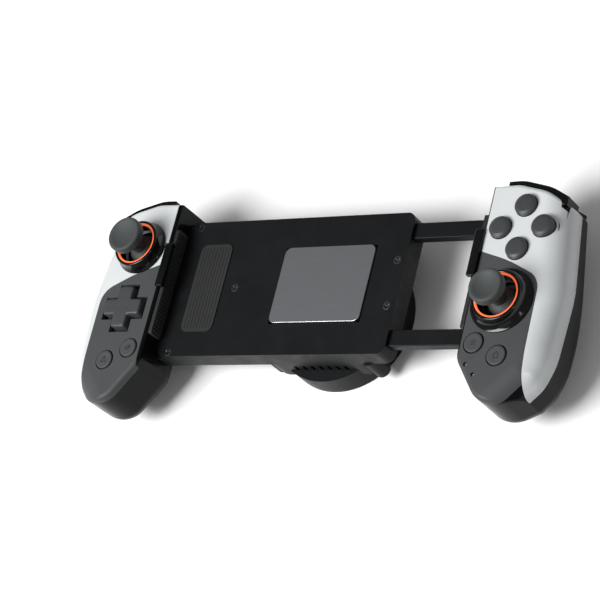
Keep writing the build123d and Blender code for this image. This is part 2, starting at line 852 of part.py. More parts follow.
def make_clamp(side):
    pad = rounded_block(u(-clamp_pad_thickness), u(0), -clamp_pad_half, clamp_pad_half,
                        clamp_pad_low_z, clamp_pad_high_z, 0.6)
    keep_side(side, "clamp_pad", pad)
    low = phone_thickness + lip_phone_gap
    lip = block(u(-lip_overhang), u(inner_border - seam_gap), lip_low_y, lip_high_y, low,
                face_z + lip_rise)
    lip = lip - block(u(0), u(5), lip_low_y - 1, lip_high_y + 1, low - 1, face_z)
    lip = lip - (outer_form & block(u(0), u(5), lip_low_y - 1, lip_high_y + 1, low - 1, face_z + 1))
    keep_side(side, "phone_lip", lip)


# Bridge, slider and return springs

def channel(y):
    side_gap = fit_gap
    return block(-u(1), bridge_end_x + 5, y - rail_width / 2 - side_gap, y + rail_width / 2 + side_gap,
                 rail_low_z - fit_gap, bridge_front_z)


def spring_slot(y):
    return block(-u(0) + spring_wall, spring_slot_end_x, y - spring_slot_width / 2,
                 y + spring_slot_width / 2 + 0.6,
                 rail_low_z - fit_gap, bridge_front_z)


def make_bridge():
    cover_low = bridge_front_z - bridge_cover_thickness
    plan = rounded_block(-u(0), bridge_end_x, -bridge_half_width, bridge_half_width, bridge_back_z,
                         bridge_front_z,
                         bridge_corner)
    tray = plan - block(-u(5), bridge_end_x + 5, -50, 50, cover_low, 5)
    square_end = block(-u(0), -u(-bridge_corner), -bridge_half_width, bridge_half_width,
                       bridge_back_z, cover_low)
    tray = tray + square_end
    for sign in (1, -1):
        tray = tray - channel(sign * rail_y)
        slot = spring_slot(spring_slot_y)
        tray = tray - (slot if sign == 1 else mirror(slot, about=Plane.XZ))
    window = block(-window_half_x, window_half_x, -window_half_y, window_half_y, bridge_back_z - 1, 5)
    tray = tray - window
    half = bridge_flange_half
    tray = tray + block(-u(shell_wall + 1.5), -u(0), -half + fit_gap, half - fit_gap,
                        bridge_flange_low_z + fit_gap, bridge_flange_high_z - fit_gap)
    cover = plan & block(-u(5), bridge_end_x + 5, -50, 50, cover_low, 5)
    plate_room = 0.2
    cover = cover - block(-cold_plate_x / 2 - plate_room, cold_plate_x / 2 + plate_room,
                          -cold_plate_y / 2 - plate_room, cold_plate_y / 2 + plate_room, cover_low - 1, 5)
    for sx, sy in bridge_screw_spots:
        tray = tray - rod(sx, sy, bridge_back_z + 2, 5, screw_radius)
        cover = cover - rod(sx, sy, cover_low - 1, 5, screw_radius + fit_gap)
        cover = cover - rod(sx, sy, bridge_front_z - 1.0, 5, screw_head_radius + fit_gap)
    for x, y in lug_spots:
        tray = tray - rod(x, y, bridge_back_z - 1, bridge_back_z + cooler_screw_bite, screw_radius)
    keep("bridge_tray", tray)
    keep("bridge_cover", cover)
    screws = []
    for sx, sy in bridge_screw_spots:
        screw = rod(sx, sy, bridge_front_z - 1.0, bridge_front_z - 0.1, screw_head_radius)
        screw = screw + rod(sx, sy, bridge_back_z + bridge_screw_foot, bridge_front_z - 0.9, screw_radius)
        screws.append(screw - crossed_slot(sx, sy, bridge_front_z - 0.6, 1))
    keep("bridge_screws", *screws)
    half_x = grip_strip_length / 2
    half_y = grip_strip_width / 2
    keep("phone_rest_pad", rounded_block(-grip_strip_x - half_x, -grip_strip_x + half_x,
                                         -half_y, half_y, bridge_front_z, -0.1, 3))



def make_slider():
    rails = [rail_box(-rail_end_x, cross_bar_x + cross_bar_width, sign * rail_y, 0) for sign in (1, -1)]
    reach = rail_y + rail_width / 2
    frame = union(rails) + block(cross_bar_x, cross_bar_x + cross_bar_width, -reach, reach,
                                 rail_low_z, rail_high_z)
    for sign in (1, -1):
        inner = rail_y - rail_width / 2
        lug_tip = spring_slot_y - 1.2
        y0, y1 = sorted((sign * lug_tip, sign * (inner + 1)))
        frame = frame + block(-spring_hook_x, -spring_hook_x + 2.0, y0, y1, rail_low_z, rail_high_z)
    keep("slider_frame", frame)
    springs = []
    start = -u(0) + spring_wall + 0.3
    length = -spring_hook_x - 0.3 - start
    pitch = length / spring_turns
    middle_z = (rail_low_z + rail_high_z) / 2
    for sign in (1, -1):
        outline = [(0, spring_radius - 2 * spring_wire)]
        for k in range(spring_turns):
            outline.append((k * pitch, spring_radius - spring_wire))
            outline.append(((k + 0.5) * pitch, spring_radius))
        outline += [(length, spring_radius - spring_wire), (length, spring_radius - 2 * spring_wire)]
        coil = revolve(make_face(Polyline(*outline, close=True)), Axis.X)
        springs.append(Pos(start, sign * spring_slot_y, middle_z) * coil)
    keep("return_springs", *springs)


# Cooling stack

def turret_plan(inset):
    return Pos(0, turret_centre_y) * Circle(turret_radius - inset)


def make_cooling_stack():
    plate_low = -cold_plate_thickness
    plate = rounded_block(-cold_plate_x / 2, cold_plate_x / 2, -cold_plate_y / 2, cold_plate_y / 2,
                          plate_low, 0, 3)
    plate = fillet(plate.faces().sort_by(Axis.Z)[-1].edges(), 0.3)
    keep("cold_plate", plate)
    half = peltier_side / 2
    element_low = plate_low - peltier_thickness
    keep("peltier_element", block(-half, half, -half, half, element_low, plate_low))
    neck_low = bridge_back_z
    sink = block(-sink_neck_x / 2, sink_neck_x / 2, -sink_neck_y / 2, sink_neck_y / 2, neck_low,
                 element_low)
    half = sink_base_side / 2
    base_low = neck_low - sink_base_thickness
    half_y = power_board_inner_y() - sink_board_gap
    sink = sink + block(-half, half, -half_y, half_y, base_low, neck_low)
    count = int((sink_base_side - sink_fin_thickness) // sink_fin_pitch) + 1
    first = -(count - 1) * sink_fin_pitch / 2
    for k in range(count):
        x = first + k * sink_fin_pitch
        sink = sink + block(x - sink_fin_thickness / 2, x + sink_fin_thickness / 2, -half_y, half_y,
                            sink_fin_bottom, base_low)
    keep("heat_sink", sink)


def make_cooler_housing():
    body = rounded_block(-cooler_half_x, cooler_half_x, -cooler_half_y, cooler_half_y,
                         cooler_base_z, bridge_back_z, cooler_corner)
    turret = prism(turret_plan(0), turret_back_z, cooler_base_z + 4)
    housing = body + turret
    housing = fillet(housing.faces().sort_by(Axis.Z)[0].edges(), 0.8)
    for x, y in lug_spots:
        housing = housing + rod(x, y, cooler_base_z - 1.2, bridge_back_z, lug_radius)
    wall = cooler_wall
    inner = rounded_block(-cooler_half_x + wall, cooler_half_x - wall, -cooler_half_y + wall,
                          cooler_half_y - wall,
                          cooler_base_z + wall, bridge_back_z + 1, cooler_corner - wall)
    for x, y in lug_spots:
        inner = inner - rod(x, y, back_z - 10, 5, lug_radius)
    housing = housing - inner
    duct = prism(Pos(0, turret_centre_y) * Circle(fan_radius + duct_gap), cooler_base_z - 0.1,
                 cooler_base_z + wall + 4)
    room = Rectangle(2 * (cooler_half_x - wall), 2 * (cooler_half_y - wall))
    housing = housing - (duct & prism(room, turret_back_z - 1, 0))
    housing = housing - prism(turret_plan(turret_wall), turret_back_z - 1, cooler_base_z)
    rim = prism(turret_plan(turret_wall), turret_back_z + grille_thickness, cooler_base_z)
    rim = rim - prism(Pos(0, turret_centre_y) * Circle(fan_radius + duct_gap), turret_back_z,
                      cooler_base_z)
    housing = housing + rim
    for k in range(vent_count):
        offset_y = (k - (vent_count - 1) / 2) * vent_pitch
        for sign in (1, -1):
            slot = block(sign * cooler_half_x - 4, sign * cooler_half_x + 4, offset_y - vent_width / 2,
                         offset_y + vent_width / 2, cooler_base_z + 3, bridge_back_z - 2)
            housing = housing - slot
        slot = block(offset_y - vent_width / 2, offset_y + vent_width / 2, -cooler_half_y - 4,
                     -cooler_half_y + 4, cooler_base_z + 4, bridge_back_z - 2)
        housing = housing - slot
    for x, y in lug_spots:
        housing = housing - rod(x, y, cooler_base_z - 3, bridge_back_z + 1, screw_radius + fit_gap)
        housing = housing - rod(x, y, cooler_base_z - 3, cooler_base_z + 0.4, screw_head_radius + fit_gap)
    housing = housing - socket_block(fit_gap)
    keep("cooler_housing", housing)
    screws = []
    for x, y in lug_spots:
        low = cooler_base_z - 1.0
        screw = rod(x, y, low, low + screw_head_height, screw_head_radius)
        screw = screw + rod(x, y, low, bridge_back_z + cooler_screw_bite, screw_radius)
        screws.append(screw - crossed_slot(x, y, low - 1, low + screw_slot_depth))
    keep("cooler_screws", *screws)


def make_fan():
    x, y = 0, turret_centre_y
    mount_high = cooler_base_z
    mount_low = fan_front_z + 0.3
    frame = rod(x, y, mount_low, mount_high, fan_hub_radius)
    inner = fan_hub_radius - 1
    reach = fan_radius + duct_gap - 0.05 - inner
    for k in range(3):
        bar = Pos(inner + reach / 2, 0, (mount_low + mount_high) / 2)
        bar = bar * Box(reach, fan_spoke_width, mount_high - mount_low)
        frame = frame + Pos(x, y, 0) * Rot(0, 0, 90 + 120 * k) * bar
    frame = frame + rod(x, y, fan_back_z + 1.2, mount_low, fan_shaft_radius)
    keep("fan_mount", frame)

    hub = rod(x, y, fan_back_z, fan_front_z, fan_hub_radius)
    annulus = rod(x, y, fan_back_z, fan_front_z, fan_radius) - rod(x, y, -40, 0, fan_hub_radius - 0.5)
    blades = []
    for k in range(fan_blades):
        blade = Pos((fan_hub_radius + fan_radius) / 2, 0, (fan_front_z + fan_back_z) / 2) * Rot(38, 0, 0)
        blade = blade * Box(fan_radius - fan_hub_radius + 4, 9.0, 1.0)
        blades.append((Pos(x, y, 0) * Rot(0, 0, 360 * k / fan_blades) * blade) & annulus)
    rotor = union([hub] + blades)
    rotor = rotor - rod(x, y, fan_back_z + 1.0, 0, fan_shaft_radius + 0.05)
    keep("fan_rotor", rotor)


def make_grille():
    low = turret_back_z
    high = turret_back_z + grille_thickness
    centre = Pos(0, turret_centre_y, 0)
    outer = turret_radius - turret_wall - fit_gap
    rim = prism(Circle(outer), low, high) - prism(Circle(outer - 2.6), low, high)
    pieces = [rim, prism(Circle(grille_hub_radius), low, high)]
    for radius in grille_rings:
        ring = Circle(radius + grille_ring_half) - Circle(radius - grille_ring_half)
        pieces.append(prism(ring, low + grille_ring_sink, high))
    for k in range(grille_spokes):
        middle = (grille_hub_radius + outer) / 2 - 0.8
        bar = Box(outer - grille_hub_radius - 0.6, grille_spoke_width, high - low)
        bar = Pos(middle, 0, (low + high) / 2) * bar
        pieces.append(Rot(0, 0, 360 * k / grille_spokes) * bar)
    keep("fan_grille", centre * union(pieces))


def power_board_inner_y():
    return cooler_half_y - cooler_wall - socket_depth + socket_overhang


def socket_block(gap):
    low = cooler_base_z + cooler_wall + power_board_thickness
    y = cooler_half_y - socket_inset
    half = socket_width / 2 + gap
    return block(-half, half, y - socket_depth, y, low - gap, low + socket_height + gap)


def make_power_board():
    low = cooler_base_z + cooler_wall
    board = block(-power_board_half, power_board_half, power_board_inner_y(),
                  cooler_half_y - cooler_wall - power_board_gap, low, low + power_board_thickness)
    mouth_y = cooler_half_y - socket_inset - socket_mouth_depth
    mouth = block(-socket_width, socket_width, mouth_y, cooler_half_y, low, bridge_back_z)
    keep("power_board", board, socket_block(0) - (socket_block(-socket_wall) & mouth))


for hand in ("left", "right"):
    make_covers(hand)
    make_rear_shell(hand)
    make_shell_screws(hand)
    make_board(hand)
    make_sheets(hand)
    make_stick(hand)
    make_collar(hand)
    make_bumper(hand)
    make_trigger(hand)
    make_clamp(hand)
make_buttons()
make_led_lenses()
make_dpad()
make_bridge()
make_slider()
make_cooling_stack()
make_cooler_housing()
make_fan()
make_grille()
make_power_board()

for name, solid in solids.items():
    export_step(solid, f"parts/{name}.step")
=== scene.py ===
import bpy
import bmesh
import json
import math
from mathutils import Matrix, Vector


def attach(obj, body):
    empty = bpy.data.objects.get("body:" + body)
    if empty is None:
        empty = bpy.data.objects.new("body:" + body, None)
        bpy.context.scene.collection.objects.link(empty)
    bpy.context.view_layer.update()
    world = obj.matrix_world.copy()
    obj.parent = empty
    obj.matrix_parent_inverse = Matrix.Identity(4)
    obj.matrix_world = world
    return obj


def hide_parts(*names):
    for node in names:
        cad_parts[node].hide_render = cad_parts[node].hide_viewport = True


# Cooling gamepad for a phone.
# Metres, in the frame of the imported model: +X right, +Y to the triggers, +Z to the player.

mm = 0.001
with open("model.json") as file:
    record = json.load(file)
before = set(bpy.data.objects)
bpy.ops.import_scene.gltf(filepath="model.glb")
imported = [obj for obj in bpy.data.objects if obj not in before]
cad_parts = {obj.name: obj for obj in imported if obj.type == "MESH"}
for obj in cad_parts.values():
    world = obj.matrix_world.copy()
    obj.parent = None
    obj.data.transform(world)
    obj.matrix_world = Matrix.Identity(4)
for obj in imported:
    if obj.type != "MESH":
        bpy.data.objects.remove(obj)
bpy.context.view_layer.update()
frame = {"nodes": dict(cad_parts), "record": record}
print("frame loaded,", len(frame["nodes"]), "nodes")

bodyOf = {node: body for body, nodes in frame["record"]["behaviour"]["bodies"].items() for node in nodes}
slotOf = {row["node"]: row["material_slot"] for row in frame["record"]["subparts"]}
sideSign = {"left": -1, "right": 1}


# Places on the object, in millimetres, repeated from the solids

faceZ = 8.6
facePad = {"x": 93.0, "y": 16.9, "reach": 9.2}
smallSpots = [(83.0, -31.3), (94.0, -36.6)]
dpadSpot = (-91.0, -13.0)
stickSpot = {"right": (91.3, -14.0), "left": (-90.4, 15.0)}
shellScrewSpots = [(80.9, 29.6), (108.2, -36.0), (86.0, 1.0), (98.5, -46.0)]
bridgeScrewSpots = [(-70.0, 28.9), (-70.0, -28.9), (33.0, 10.0), (33.0, -10.0), (-44.0, 0.0)]
coolerScrewSpots = [(24.5, -28.6), (-24.5, 27.0), (24.5, 27.0), (-24.5, -26.0)]
turret = {"y": -6.0, "backZ": -27.0}


# Camera

cameraPlace = {
    "position": (0.546029, -0.363015, 0.713068),
    "right": (0.820509, 0.230501, -0.523100),
    "up": (0.022479, 0.901379, 0.432447),
    "back": (0.571191, -0.366586, 0.734409),
    "lens": 144.6,
    "sensor": 36.0,
    "nearest": 0.05,
    "farthest": 20.0,
}


def newObject(name, data):
    made = bpy.data.objects.new(name, data)
    bpy.context.scene.collection.objects.link(made)
    return made


def makeCamera():
    data = bpy.data.cameras.new("studioCamera")
    data.lens = cameraPlace["lens"]
    data.sensor_width = cameraPlace["sensor"]
    data.clip_start = cameraPlace["nearest"]
    data.clip_end = cameraPlace["farthest"]
    camera = newObject("studioCamera", data)
    axes = Matrix((cameraPlace["right"], cameraPlace["up"], cameraPlace["back"])).transposed()
    camera.matrix_world = Matrix.Translation(cameraPlace["position"]) @ axes.to_4x4()
    bpy.context.scene.camera = camera


makeCamera()


# Material helpers

def linear(hexColour):  # sRGB hex to the linear colour that shaders take
    parts = [int(hexColour[i:i + 2], 16) / 255 for i in (1, 3, 5)]
    return [c / 12.92 if c <= 0.04045 else ((c + 0.055) / 1.055) ** 2.4 for c in parts] + [1.0]


def perMm(size):
    return 1.0 / (size * mm)  # texture scale for a feature of this size in millimetres


def addNode(tree, kind, settings=None, links=None):
    node = tree.nodes.new(kind)
    for key, value in (settings or {}).items():
        if isinstance(key, int) or key in node.inputs:
            node.inputs[key].default_value = value
        else:
            setattr(node, key, value)
    for key, source in (links or {}).items():
        tree.links.new(source, node.inputs[key])
    return node


def newMaterial(name):
    material = bpy.data.materials.new(name)
    material.use_nodes = True
    tree = material.node_tree
    tree.nodes.clear()
    output = tree.nodes.new("ShaderNodeOutputMaterial")
    shader = tree.nodes.new("ShaderNodeBsdfPrincipled")
    tree.links.new(shader.outputs["BSDF"], output.inputs["Surface"])
    return material, tree, shader


def mixColours(tree, first, second, factor):  # two sRGB colours, mixed by a factor
    colours = {"data_type": "RGBA", "A": linear(first), "B": linear(second)}
    return addNode(tree, "ShaderNodeMix", colours, {"Factor": factor})


def noiseOf(tree, vector, size, detail, **more):  # noise with features of this size in millimetres
    settings = {"Scale": perMm(size), "Detail": detail, **more}
    return addNode(tree, "ShaderNodeTexNoise", settings, {"Vector": vector}).outputs["Fac"]


def rangeOf(tree, value, low, high, toLow=0.0, toHigh=1.0):
    settings = {"From Min": low, "From Max": high, "To Min": toLow, "To Max": toHigh}
    return addNode(tree, "ShaderNodeMapRange", settings, {"Value": value}).outputs["Result"]


def bumpFrom(tree, shader, height, strength, distance):
    bump = addNode(tree, "ShaderNodeBump", {"Strength": strength, "Distance": distance}, {"Height": height})
    tree.links.new(bump.outputs["Normal"], shader.inputs["Normal"])


usualLook = {"ior": 1.48, "coat": 0.0, "coatRoughness": 0.1, "metallic": 0.0, "sheen": 0.0, "specular": 0.5,
             "driftSize": 22, "rubSize": 6, "speck": 0.25, "rub": 0.05, "bump": 0.2}
plainSockets = {"IOR": "ior", "Coat Weight": "coat", "Coat Roughness": "coatRoughness", "Metallic": "metallic",
                "Sheen Weight": "sheen", "Specular IOR Level": "specular"}


def mouldedPlastic(name, given):  # eroded grain, slow tone drift, and patches that fingers have polished
    look = {**usualLook, "speckColour": given["otherColour"], **given}
    material, tree, shader = newMaterial(name)
    for socket, key in plainSockets.items():
        shader.inputs[socket].default_value = look[key]
    place = addNode(tree, "ShaderNodeTexCoord").outputs["Object"]
    grain = noiseOf(tree, place, look["grain"], 3.0, Roughness=0.6)
    drift = noiseOf(tree, place, look["driftSize"], 2.0)
    rubbed = noiseOf(tree, place, look["rubSize"], 4.0, Distortion=0.6)
    tone = mixColours(tree, look["colour"], look["otherColour"], rangeOf(tree, drift, 0.3, 0.7))
    specks = rangeOf(tree, grain, 0.55, 0.8, 0.0, look["speck"])
    speckled = mixColours(tree, look["colour"], look["speckColour"], specks)
    tree.links.new(tone.outputs["Result"], speckled.inputs["A"])
    tree.links.new(speckled.outputs["Result"], shader.inputs["Base Color"])
    rough = rangeOf(tree, rubbed, 0.3, 0.7, look["roughness"] - look["rub"], look["roughness"] + look["rub"])
    tree.links.new(rough, shader.inputs["Roughness"])
    bumpFrom(tree, shader, grain, look["bump"], look["grain"] * mm * 0.25)
    return material


def brushedMetal(name, look):  # metal with fine brush lines along one axis and a few deeper ones
    material, tree, shader = newMaterial(name)
    shader.inputs["Metallic"].default_value = 1.0
    place = addNode(tree, "ShaderNodeTexCoord")
    stretch = addNode(tree, "ShaderNodeMapping", {"Scale": look["stretch"]},
                      {"Vector": place.outputs["Object"]})
    lines = noiseOf(tree, stretch.outputs["Vector"], look["grain"], 5.0, Roughness=0.7)
    tone = mixColours(tree, look["colour"], look["otherColour"], lines)
    tree.links.new(tone.outputs["Result"], shader.inputs["Base Color"])
    rough = rangeOf(tree, lines, 0.0, 1.0, look["roughness"] - 0.08, look["roughness"] + 0.1)
    tree.links.new(rough, shader.inputs["Roughness"])
    bumpFrom(tree, shader, lines, 0.25, 0.02 * mm)
    return material


def glowingRing(name, look):  # light guide, lit from below, a little brighter where the lamps sit
    material, tree, shader = newMaterial(name)
    place = addNode(tree, "ShaderNodeTexCoord").outputs["Object"]
    tone = mixColours(tree, look["colour"], look["otherColour"], noiseOf(tree, place, look["lampPitch"], 1.0))
    tree.links.new(tone.outputs["Result"], shader.inputs["Base Color"])
    tree.links.new(tone.outputs["Result"], shader.inputs["Emission Color"])
    shader.inputs["Emission Strength"].default_value = look["glow"]
    shader.inputs["Roughness"].default_value = look["roughness"]
    return material


def boardLaminate(name, look):  # solder mask over copper tracks
    material, tree, shader = newMaterial(name)
    place = addNode(tree, "ShaderNodeTexCoord")
    pattern = {"feature": "DISTANCE_TO_EDGE", "distance": "MANHATTAN", "Scale": perMm(look["trackPitch"])}
    tracks = addNode(tree, "ShaderNodeTexVoronoi", pattern, {"Vector": place.outputs["Object"]})
    edge = rangeOf(tree, tracks.outputs["Distance"], 0.03, 0.06)
    tone = mixColours(tree, look["otherColour"], look["colour"], edge)
    tree.links.new(tone.outputs["Result"], shader.inputs["Base Color"])
    shader.inputs["Roughness"].default_value = look["roughness"]
    bumpFrom(tree, shader, edge, 0.3, 0.04 * mm)
    return material


# Finishes

finishes = {
    # silver-white lacquer over ABS, satin
    "satinWhiteLacquer": (mouldedPlastic, dict(colour="#DADEDF", otherColour="#D5D9DA",
        speckColour="#F0F3F4", grain=0.12, roughness=0.30, rub=0.03, bump=0.05, speck=0.3, coat=0.25,
        coatRoughness=0.15, metallic=0.12)),
    # graphite ABS with a fine eroded grain
    "graphiteGrain": (mouldedPlastic, dict(colour="#444647", otherColour="#3F4142", speckColour="#585B5C",
        grain=0.22, roughness=0.52, rub=0.05, bump=0.30, speck=0.3, specular=0.35)),
    # piano-black polycarbonate of the rear shells
    "pianoBlackShell": (mouldedPlastic, dict(colour="#0A0B0C", otherColour="#0D0F10", grain=0.30,
        roughness=0.22, rub=0.06, bump=0.05, speck=0.1, specular=0.12, coat=0.03, coatRoughness=0.1)),
    # satin black ABS of the bridge and the cooler
    "satinBlackMoulding": (mouldedPlastic, dict(colour="#121314", otherColour="#17181A",
        speckColour="#242527", grain=0.25, roughness=0.42, rub=0.06, bump=0.28, speck=0.25, specular=0.15)),
    # charcoal caps of the round buttons
    "buttonCharcoal": (mouldedPlastic, dict(colour="#3B3D3F", otherColour="#404244", speckColour="#4C4F51",
        grain=0.15, roughness=0.40, rub=0.05, bump=0.16, speck=0.2, specular=0.35)),
    # glossy shoulder bars
    "bumperGloss": (mouldedPlastic, dict(colour="#0C0D0E", otherColour="#101112", grain=0.3, roughness=0.18,
        rub=0.05, bump=0.04, speck=0.1, specular=0.15, coat=0.06, coatRoughness=0.06)),
    # polished black collars round the sticks
    "collarPolish": (mouldedPlastic, dict(colour="#08090A", otherColour="#0D0E0F", grain=0.3,
        roughness=0.12, rub=0.04, bump=0.02, speck=0.05, specular=0.3, coat=0.12, coatRoughness=0.05)),
    # rubber of the stick caps
    "stickRubber": (mouldedPlastic, dict(colour="#414444", otherColour="#3A3D3D", speckColour="#535757",
        grain=0.18, roughness=0.62, rub=0.06, bump=0.4, speck=0.3, sheen=0.04, specular=0.4)),
    # black silicone where the phone is held
    "clampSilicone": (mouldedPlastic, dict(colour="#141515", otherColour="#1A1B1B", speckColour="#2B2D2D",
        grain=0.2, roughness=0.66, rub=0.05, bump=0.3, speck=0.2, sheen=0.05)),
    # grey silicone under the buttons
    "switchSilicone": (mouldedPlastic, dict(colour="#8A8D8E", otherColour="#7F8283", grain=0.4,
        roughness=0.6, bump=0.1)),
    # unpainted black inner mouldings
    "innerMoulding": (mouldedPlastic, dict(colour="#17181A", otherColour="#1E1F21", grain=0.3,
        roughness=0.5, bump=0.2)),
    # marks sprayed on the keys
    "markInk": (mouldedPlastic, dict(colour="#26282A", otherColour="#222426", grain=0.1, roughness=0.5,
        bump=0.1, speck=0.1)),
    # marks moulded into the charcoal caps
    "markRelief": (mouldedPlastic, dict(colour="#3B3E40", otherColour="#35383A", grain=0.1, roughness=0.42,
        bump=0.1, speck=0.1)),
    # light guides of the two indicators
    "indicatorLens": (mouldedPlastic, dict(colour="#7F8487", otherColour="#74797C", grain=0.2,
        roughness=0.25, bump=0.05, coat=0.4)),
    # dense white ceramic of the cooling element
    "whiteCeramic": (mouldedPlastic, dict(colour="#E4E3DC", otherColour="#DAD8D0", grain=0.2,
        roughness=0.45, bump=0.1)),
    # brushed and anodised aluminium of the plate and the heat sink
    "anodisedPlate": (brushedMetal, dict(colour="#B9BCC0", otherColour="#9EA2A6", grain=0.5, roughness=0.32,
        stretch=(0.04, 1.0, 1.0))),
    # blackened steel of screws, pins and springs
    "screwSteel": (brushedMetal, dict(colour="#6A6C6F", otherColour="#505255", grain=0.3, roughness=0.3,
        stretch=(1.0, 1.0, 1.0))),
    # orange light guides round the sticks
    "ringGlow": (glowingRing, dict(colour="#DB4A24", otherColour="#F07A48", glow=0.85, lampPitch=7,
        roughness=0.35)),
    # green solder mask of the boards
    "boardMask": (boardLaminate, dict(colour="#123A22", otherColour="#2C5B38", trackPitch=3.0,
        roughness=0.3)),
}
materials = {name: build(name, look) for name, (build, look) in finishes.items()}

finishOfSlot = {
    "white_gloss": "satinWhiteLacquer", "graphite_plastic": "graphiteGrain",
    "black_plastic": "satinBlackMoulding", "inner_plastic": "innerMoulding",
    "button_plastic": "buttonCharcoal", "collar_gloss": "collarPolish", "light_ring": "ringGlow",
    "stick_rubber": "stickRubber", "pad_rubber": "clampSilicone", "silicone_sheet": "switchSilicone",
    "circuit_board": "boardMask", "steel": "screwSteel", "aluminium": "anodisedPlate",
    "ceramic": "whiteCeramic", "lens": "indicatorLens",
}
finishOfNode = {}
for side in ("left", "right"):
    finishOfNode[side + "_rear_shell"] = "pianoBlackShell"
    finishOfNode[side + "_bumper"] = "bumperGloss"
    finishOfNode[side + "_trigger"] = "bumperGloss"
    finishOfNode[side + "_phone_lip"] = "bumperGloss"


def finishFor(node):
    return materials[finishOfNode.get(node) or finishOfSlot[slotOf[node]]]


for node, part in frame["nodes"].items():
    part.data.materials.clear()
    part.data.materials.append(finishFor(node))
print("finishes made,", len(materials))


# Piece helpers

def newPiece(name, mesh, material, body):
    piece = newObject(name, mesh)
    mesh.materials.clear()
    mesh.materials.append(material)
    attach(piece, body)
    return piece


def smoothByAngle(mesh, degrees):
    mesh.polygons.foreach_set("use_smooth", [True] * len(mesh.polygons))
    mesh.set_sharp_from_angle(angle=math.radians(degrees))


def evaluatedMesh(piece):  # the plain mesh that the piece's modifiers give
    graph = bpy.context.evaluated_depsgraph_get()
    return bpy.data.meshes.new_from_object(piece.evaluated_get(graph))


def bakeModifiers(piece):
    mesh = evaluatedMesh(piece)
    piece.modifiers.clear()
    piece.data = mesh


edgeRounding = {"segments": 2, "sharpAngle": 30}


def roundEdges(piece, width):
    bevel = piece.modifiers.new("edgeRound", "BEVEL")
    bevel.width = width * mm
    bevel.segments = edgeRounding["segments"]
    bevel.limit_method = "ANGLE"
    bevel.angle_limit = math.radians(edgeRounding["sharpAngle"])
    bevel.miter_outer = "MITER_ARC"


copySizes = {"weld": 0.002 * mm, "flatAngle": 0.05, "smoothAngle": 32, "flatWeight": 90}


def dressedCopy(node, edge):  # a joined, smooth-shaded copy with rounded edges, which stands for the solid
    mesh = frame["nodes"][node].data.copy()
    work = bmesh.new()
    work.from_mesh(mesh)
    bmesh.ops.remove_doubles(work, verts=work.verts, dist=copySizes["weld"])
    if edge:
        bmesh.ops.dissolve_limit(work, angle_limit=math.radians(copySizes["flatAngle"]), verts=work.verts,
                                 edges=work.edges)
    work.to_mesh(mesh)
    work.free()
    for layer in list(mesh.attributes):
        if layer.name in ("custom_normal", "sharp_face", "sharp_edge"):
            mesh.attributes.remove(layer)
    piece = newPiece(node + "_dressed", mesh, finishFor(node), bodyOf[node])
    smoothByAngle(mesh, copySizes["smoothAngle"])
    if edge:
        roundEdges(piece, edge)
    weigh = piece.modifiers.new("flatFaces", "WEIGHTED_NORMAL")  # keeps the flats flat between rounded edges
    weigh.keep_sharp = True
    weigh.weight = copySizes["flatWeight"]
    bakeModifiers(piece)
    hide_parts(node)


def standIn(node, mesh, finish, angle):  # a made piece, which stands for the solid
    piece = newPiece(node + "_dressed", mesh, materials[finish], bodyOf[node])
    smoothByAngle(mesh, angle)
    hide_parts(node)
    return piece


def meshFromParts(name, vertices, faces):
    mesh = bpy.data.meshes.new(name)
    mesh.from_pydata([Vector(v) * mm for v in vertices], [], faces)
    mesh.update()
    return mesh


def turnFacesOut(mesh):
    work = bmesh.new()
    work.from_mesh(mesh)
    bmesh.ops.recalc_face_normals(work, faces=work.faces)
    work.to_mesh(mesh)
    work.free()
    return mesh


def joinMeshes(target, *others):
    work = bmesh.new()
    work.from_mesh(target)
    for mesh in others:
        work.from_mesh(mesh)
    work.to_mesh(target)
    work.free()


turnSteps = {"wide": 128, "usual": 72, "small": 20}


def turned(name, profile, centre, steps):  # lathe of (radius, height) points, which run from axis to axis
    vertices, faces, rows = [], [], []
    for radius, height in profile:
        if radius == 0.0:
            rows.append([len(vertices)])
            vertices.append((centre[0], centre[1], height))
        else:
            rows.append(list(range(len(vertices), len(vertices) + steps)))
            for k in range(steps):
                angle = 2 * math.pi * k / steps
                vertices.append((centre[0] + radius * math.cos(angle), centre[1] + radius * math.sin(angle),
                                 height))
    for low, high in zip(rows, rows[1:]):
        for k in range(steps):
            n = (k + 1) % steps
            corners = [low[k % len(low)], low[n % len(low)], high[n % len(high)], high[k % len(high)]]
            unique = list(dict.fromkeys(corners))
            if len(unique) > 2:
                faces.append(unique)
    return turnFacesOut(meshFromParts(name, vertices, faces))


def arcPoints(centreR, centreZ, radius, start, end, steps):  # points of a rounding, angles in degrees
    points = []
    for k in range(steps + 1):
        a = math.radians(start + (end - start) * k / steps)
        points.append((centreR + radius * math.cos(a), centreZ + radius * math.sin(a)))
    return points


def crownPoints(radius, edgeZ, rise, steps):  # in to the axis over a crown, or a dish where rise is negative
    points = []
    for k in range(1, steps + 1):
        r = radius * (1 - k / steps)
        points.append((r, edgeZ + rise * (1 - (r / radius) ** 2)))
    return points


# Geometry-node helpers

def newGeometryTree(name, inputs):
    tree = bpy.data.node_groups.new(name, "GeometryNodeTree")
    tree.interface.new_socket(name="Geometry", in_out="INPUT", socket_type="NodeSocketGeometry")
    tree.interface.new_socket(name="Geometry", in_out="OUTPUT", socket_type="NodeSocketGeometry")
    for label, value in inputs.items():
        kind = "NodeSocketInt" if isinstance(value, int) else "NodeSocketFloat"
        tree.interface.new_socket(name=label, in_out="INPUT", socket_type=kind).default_value = value
    return tree, tree.nodes.new("NodeGroupInput").outputs


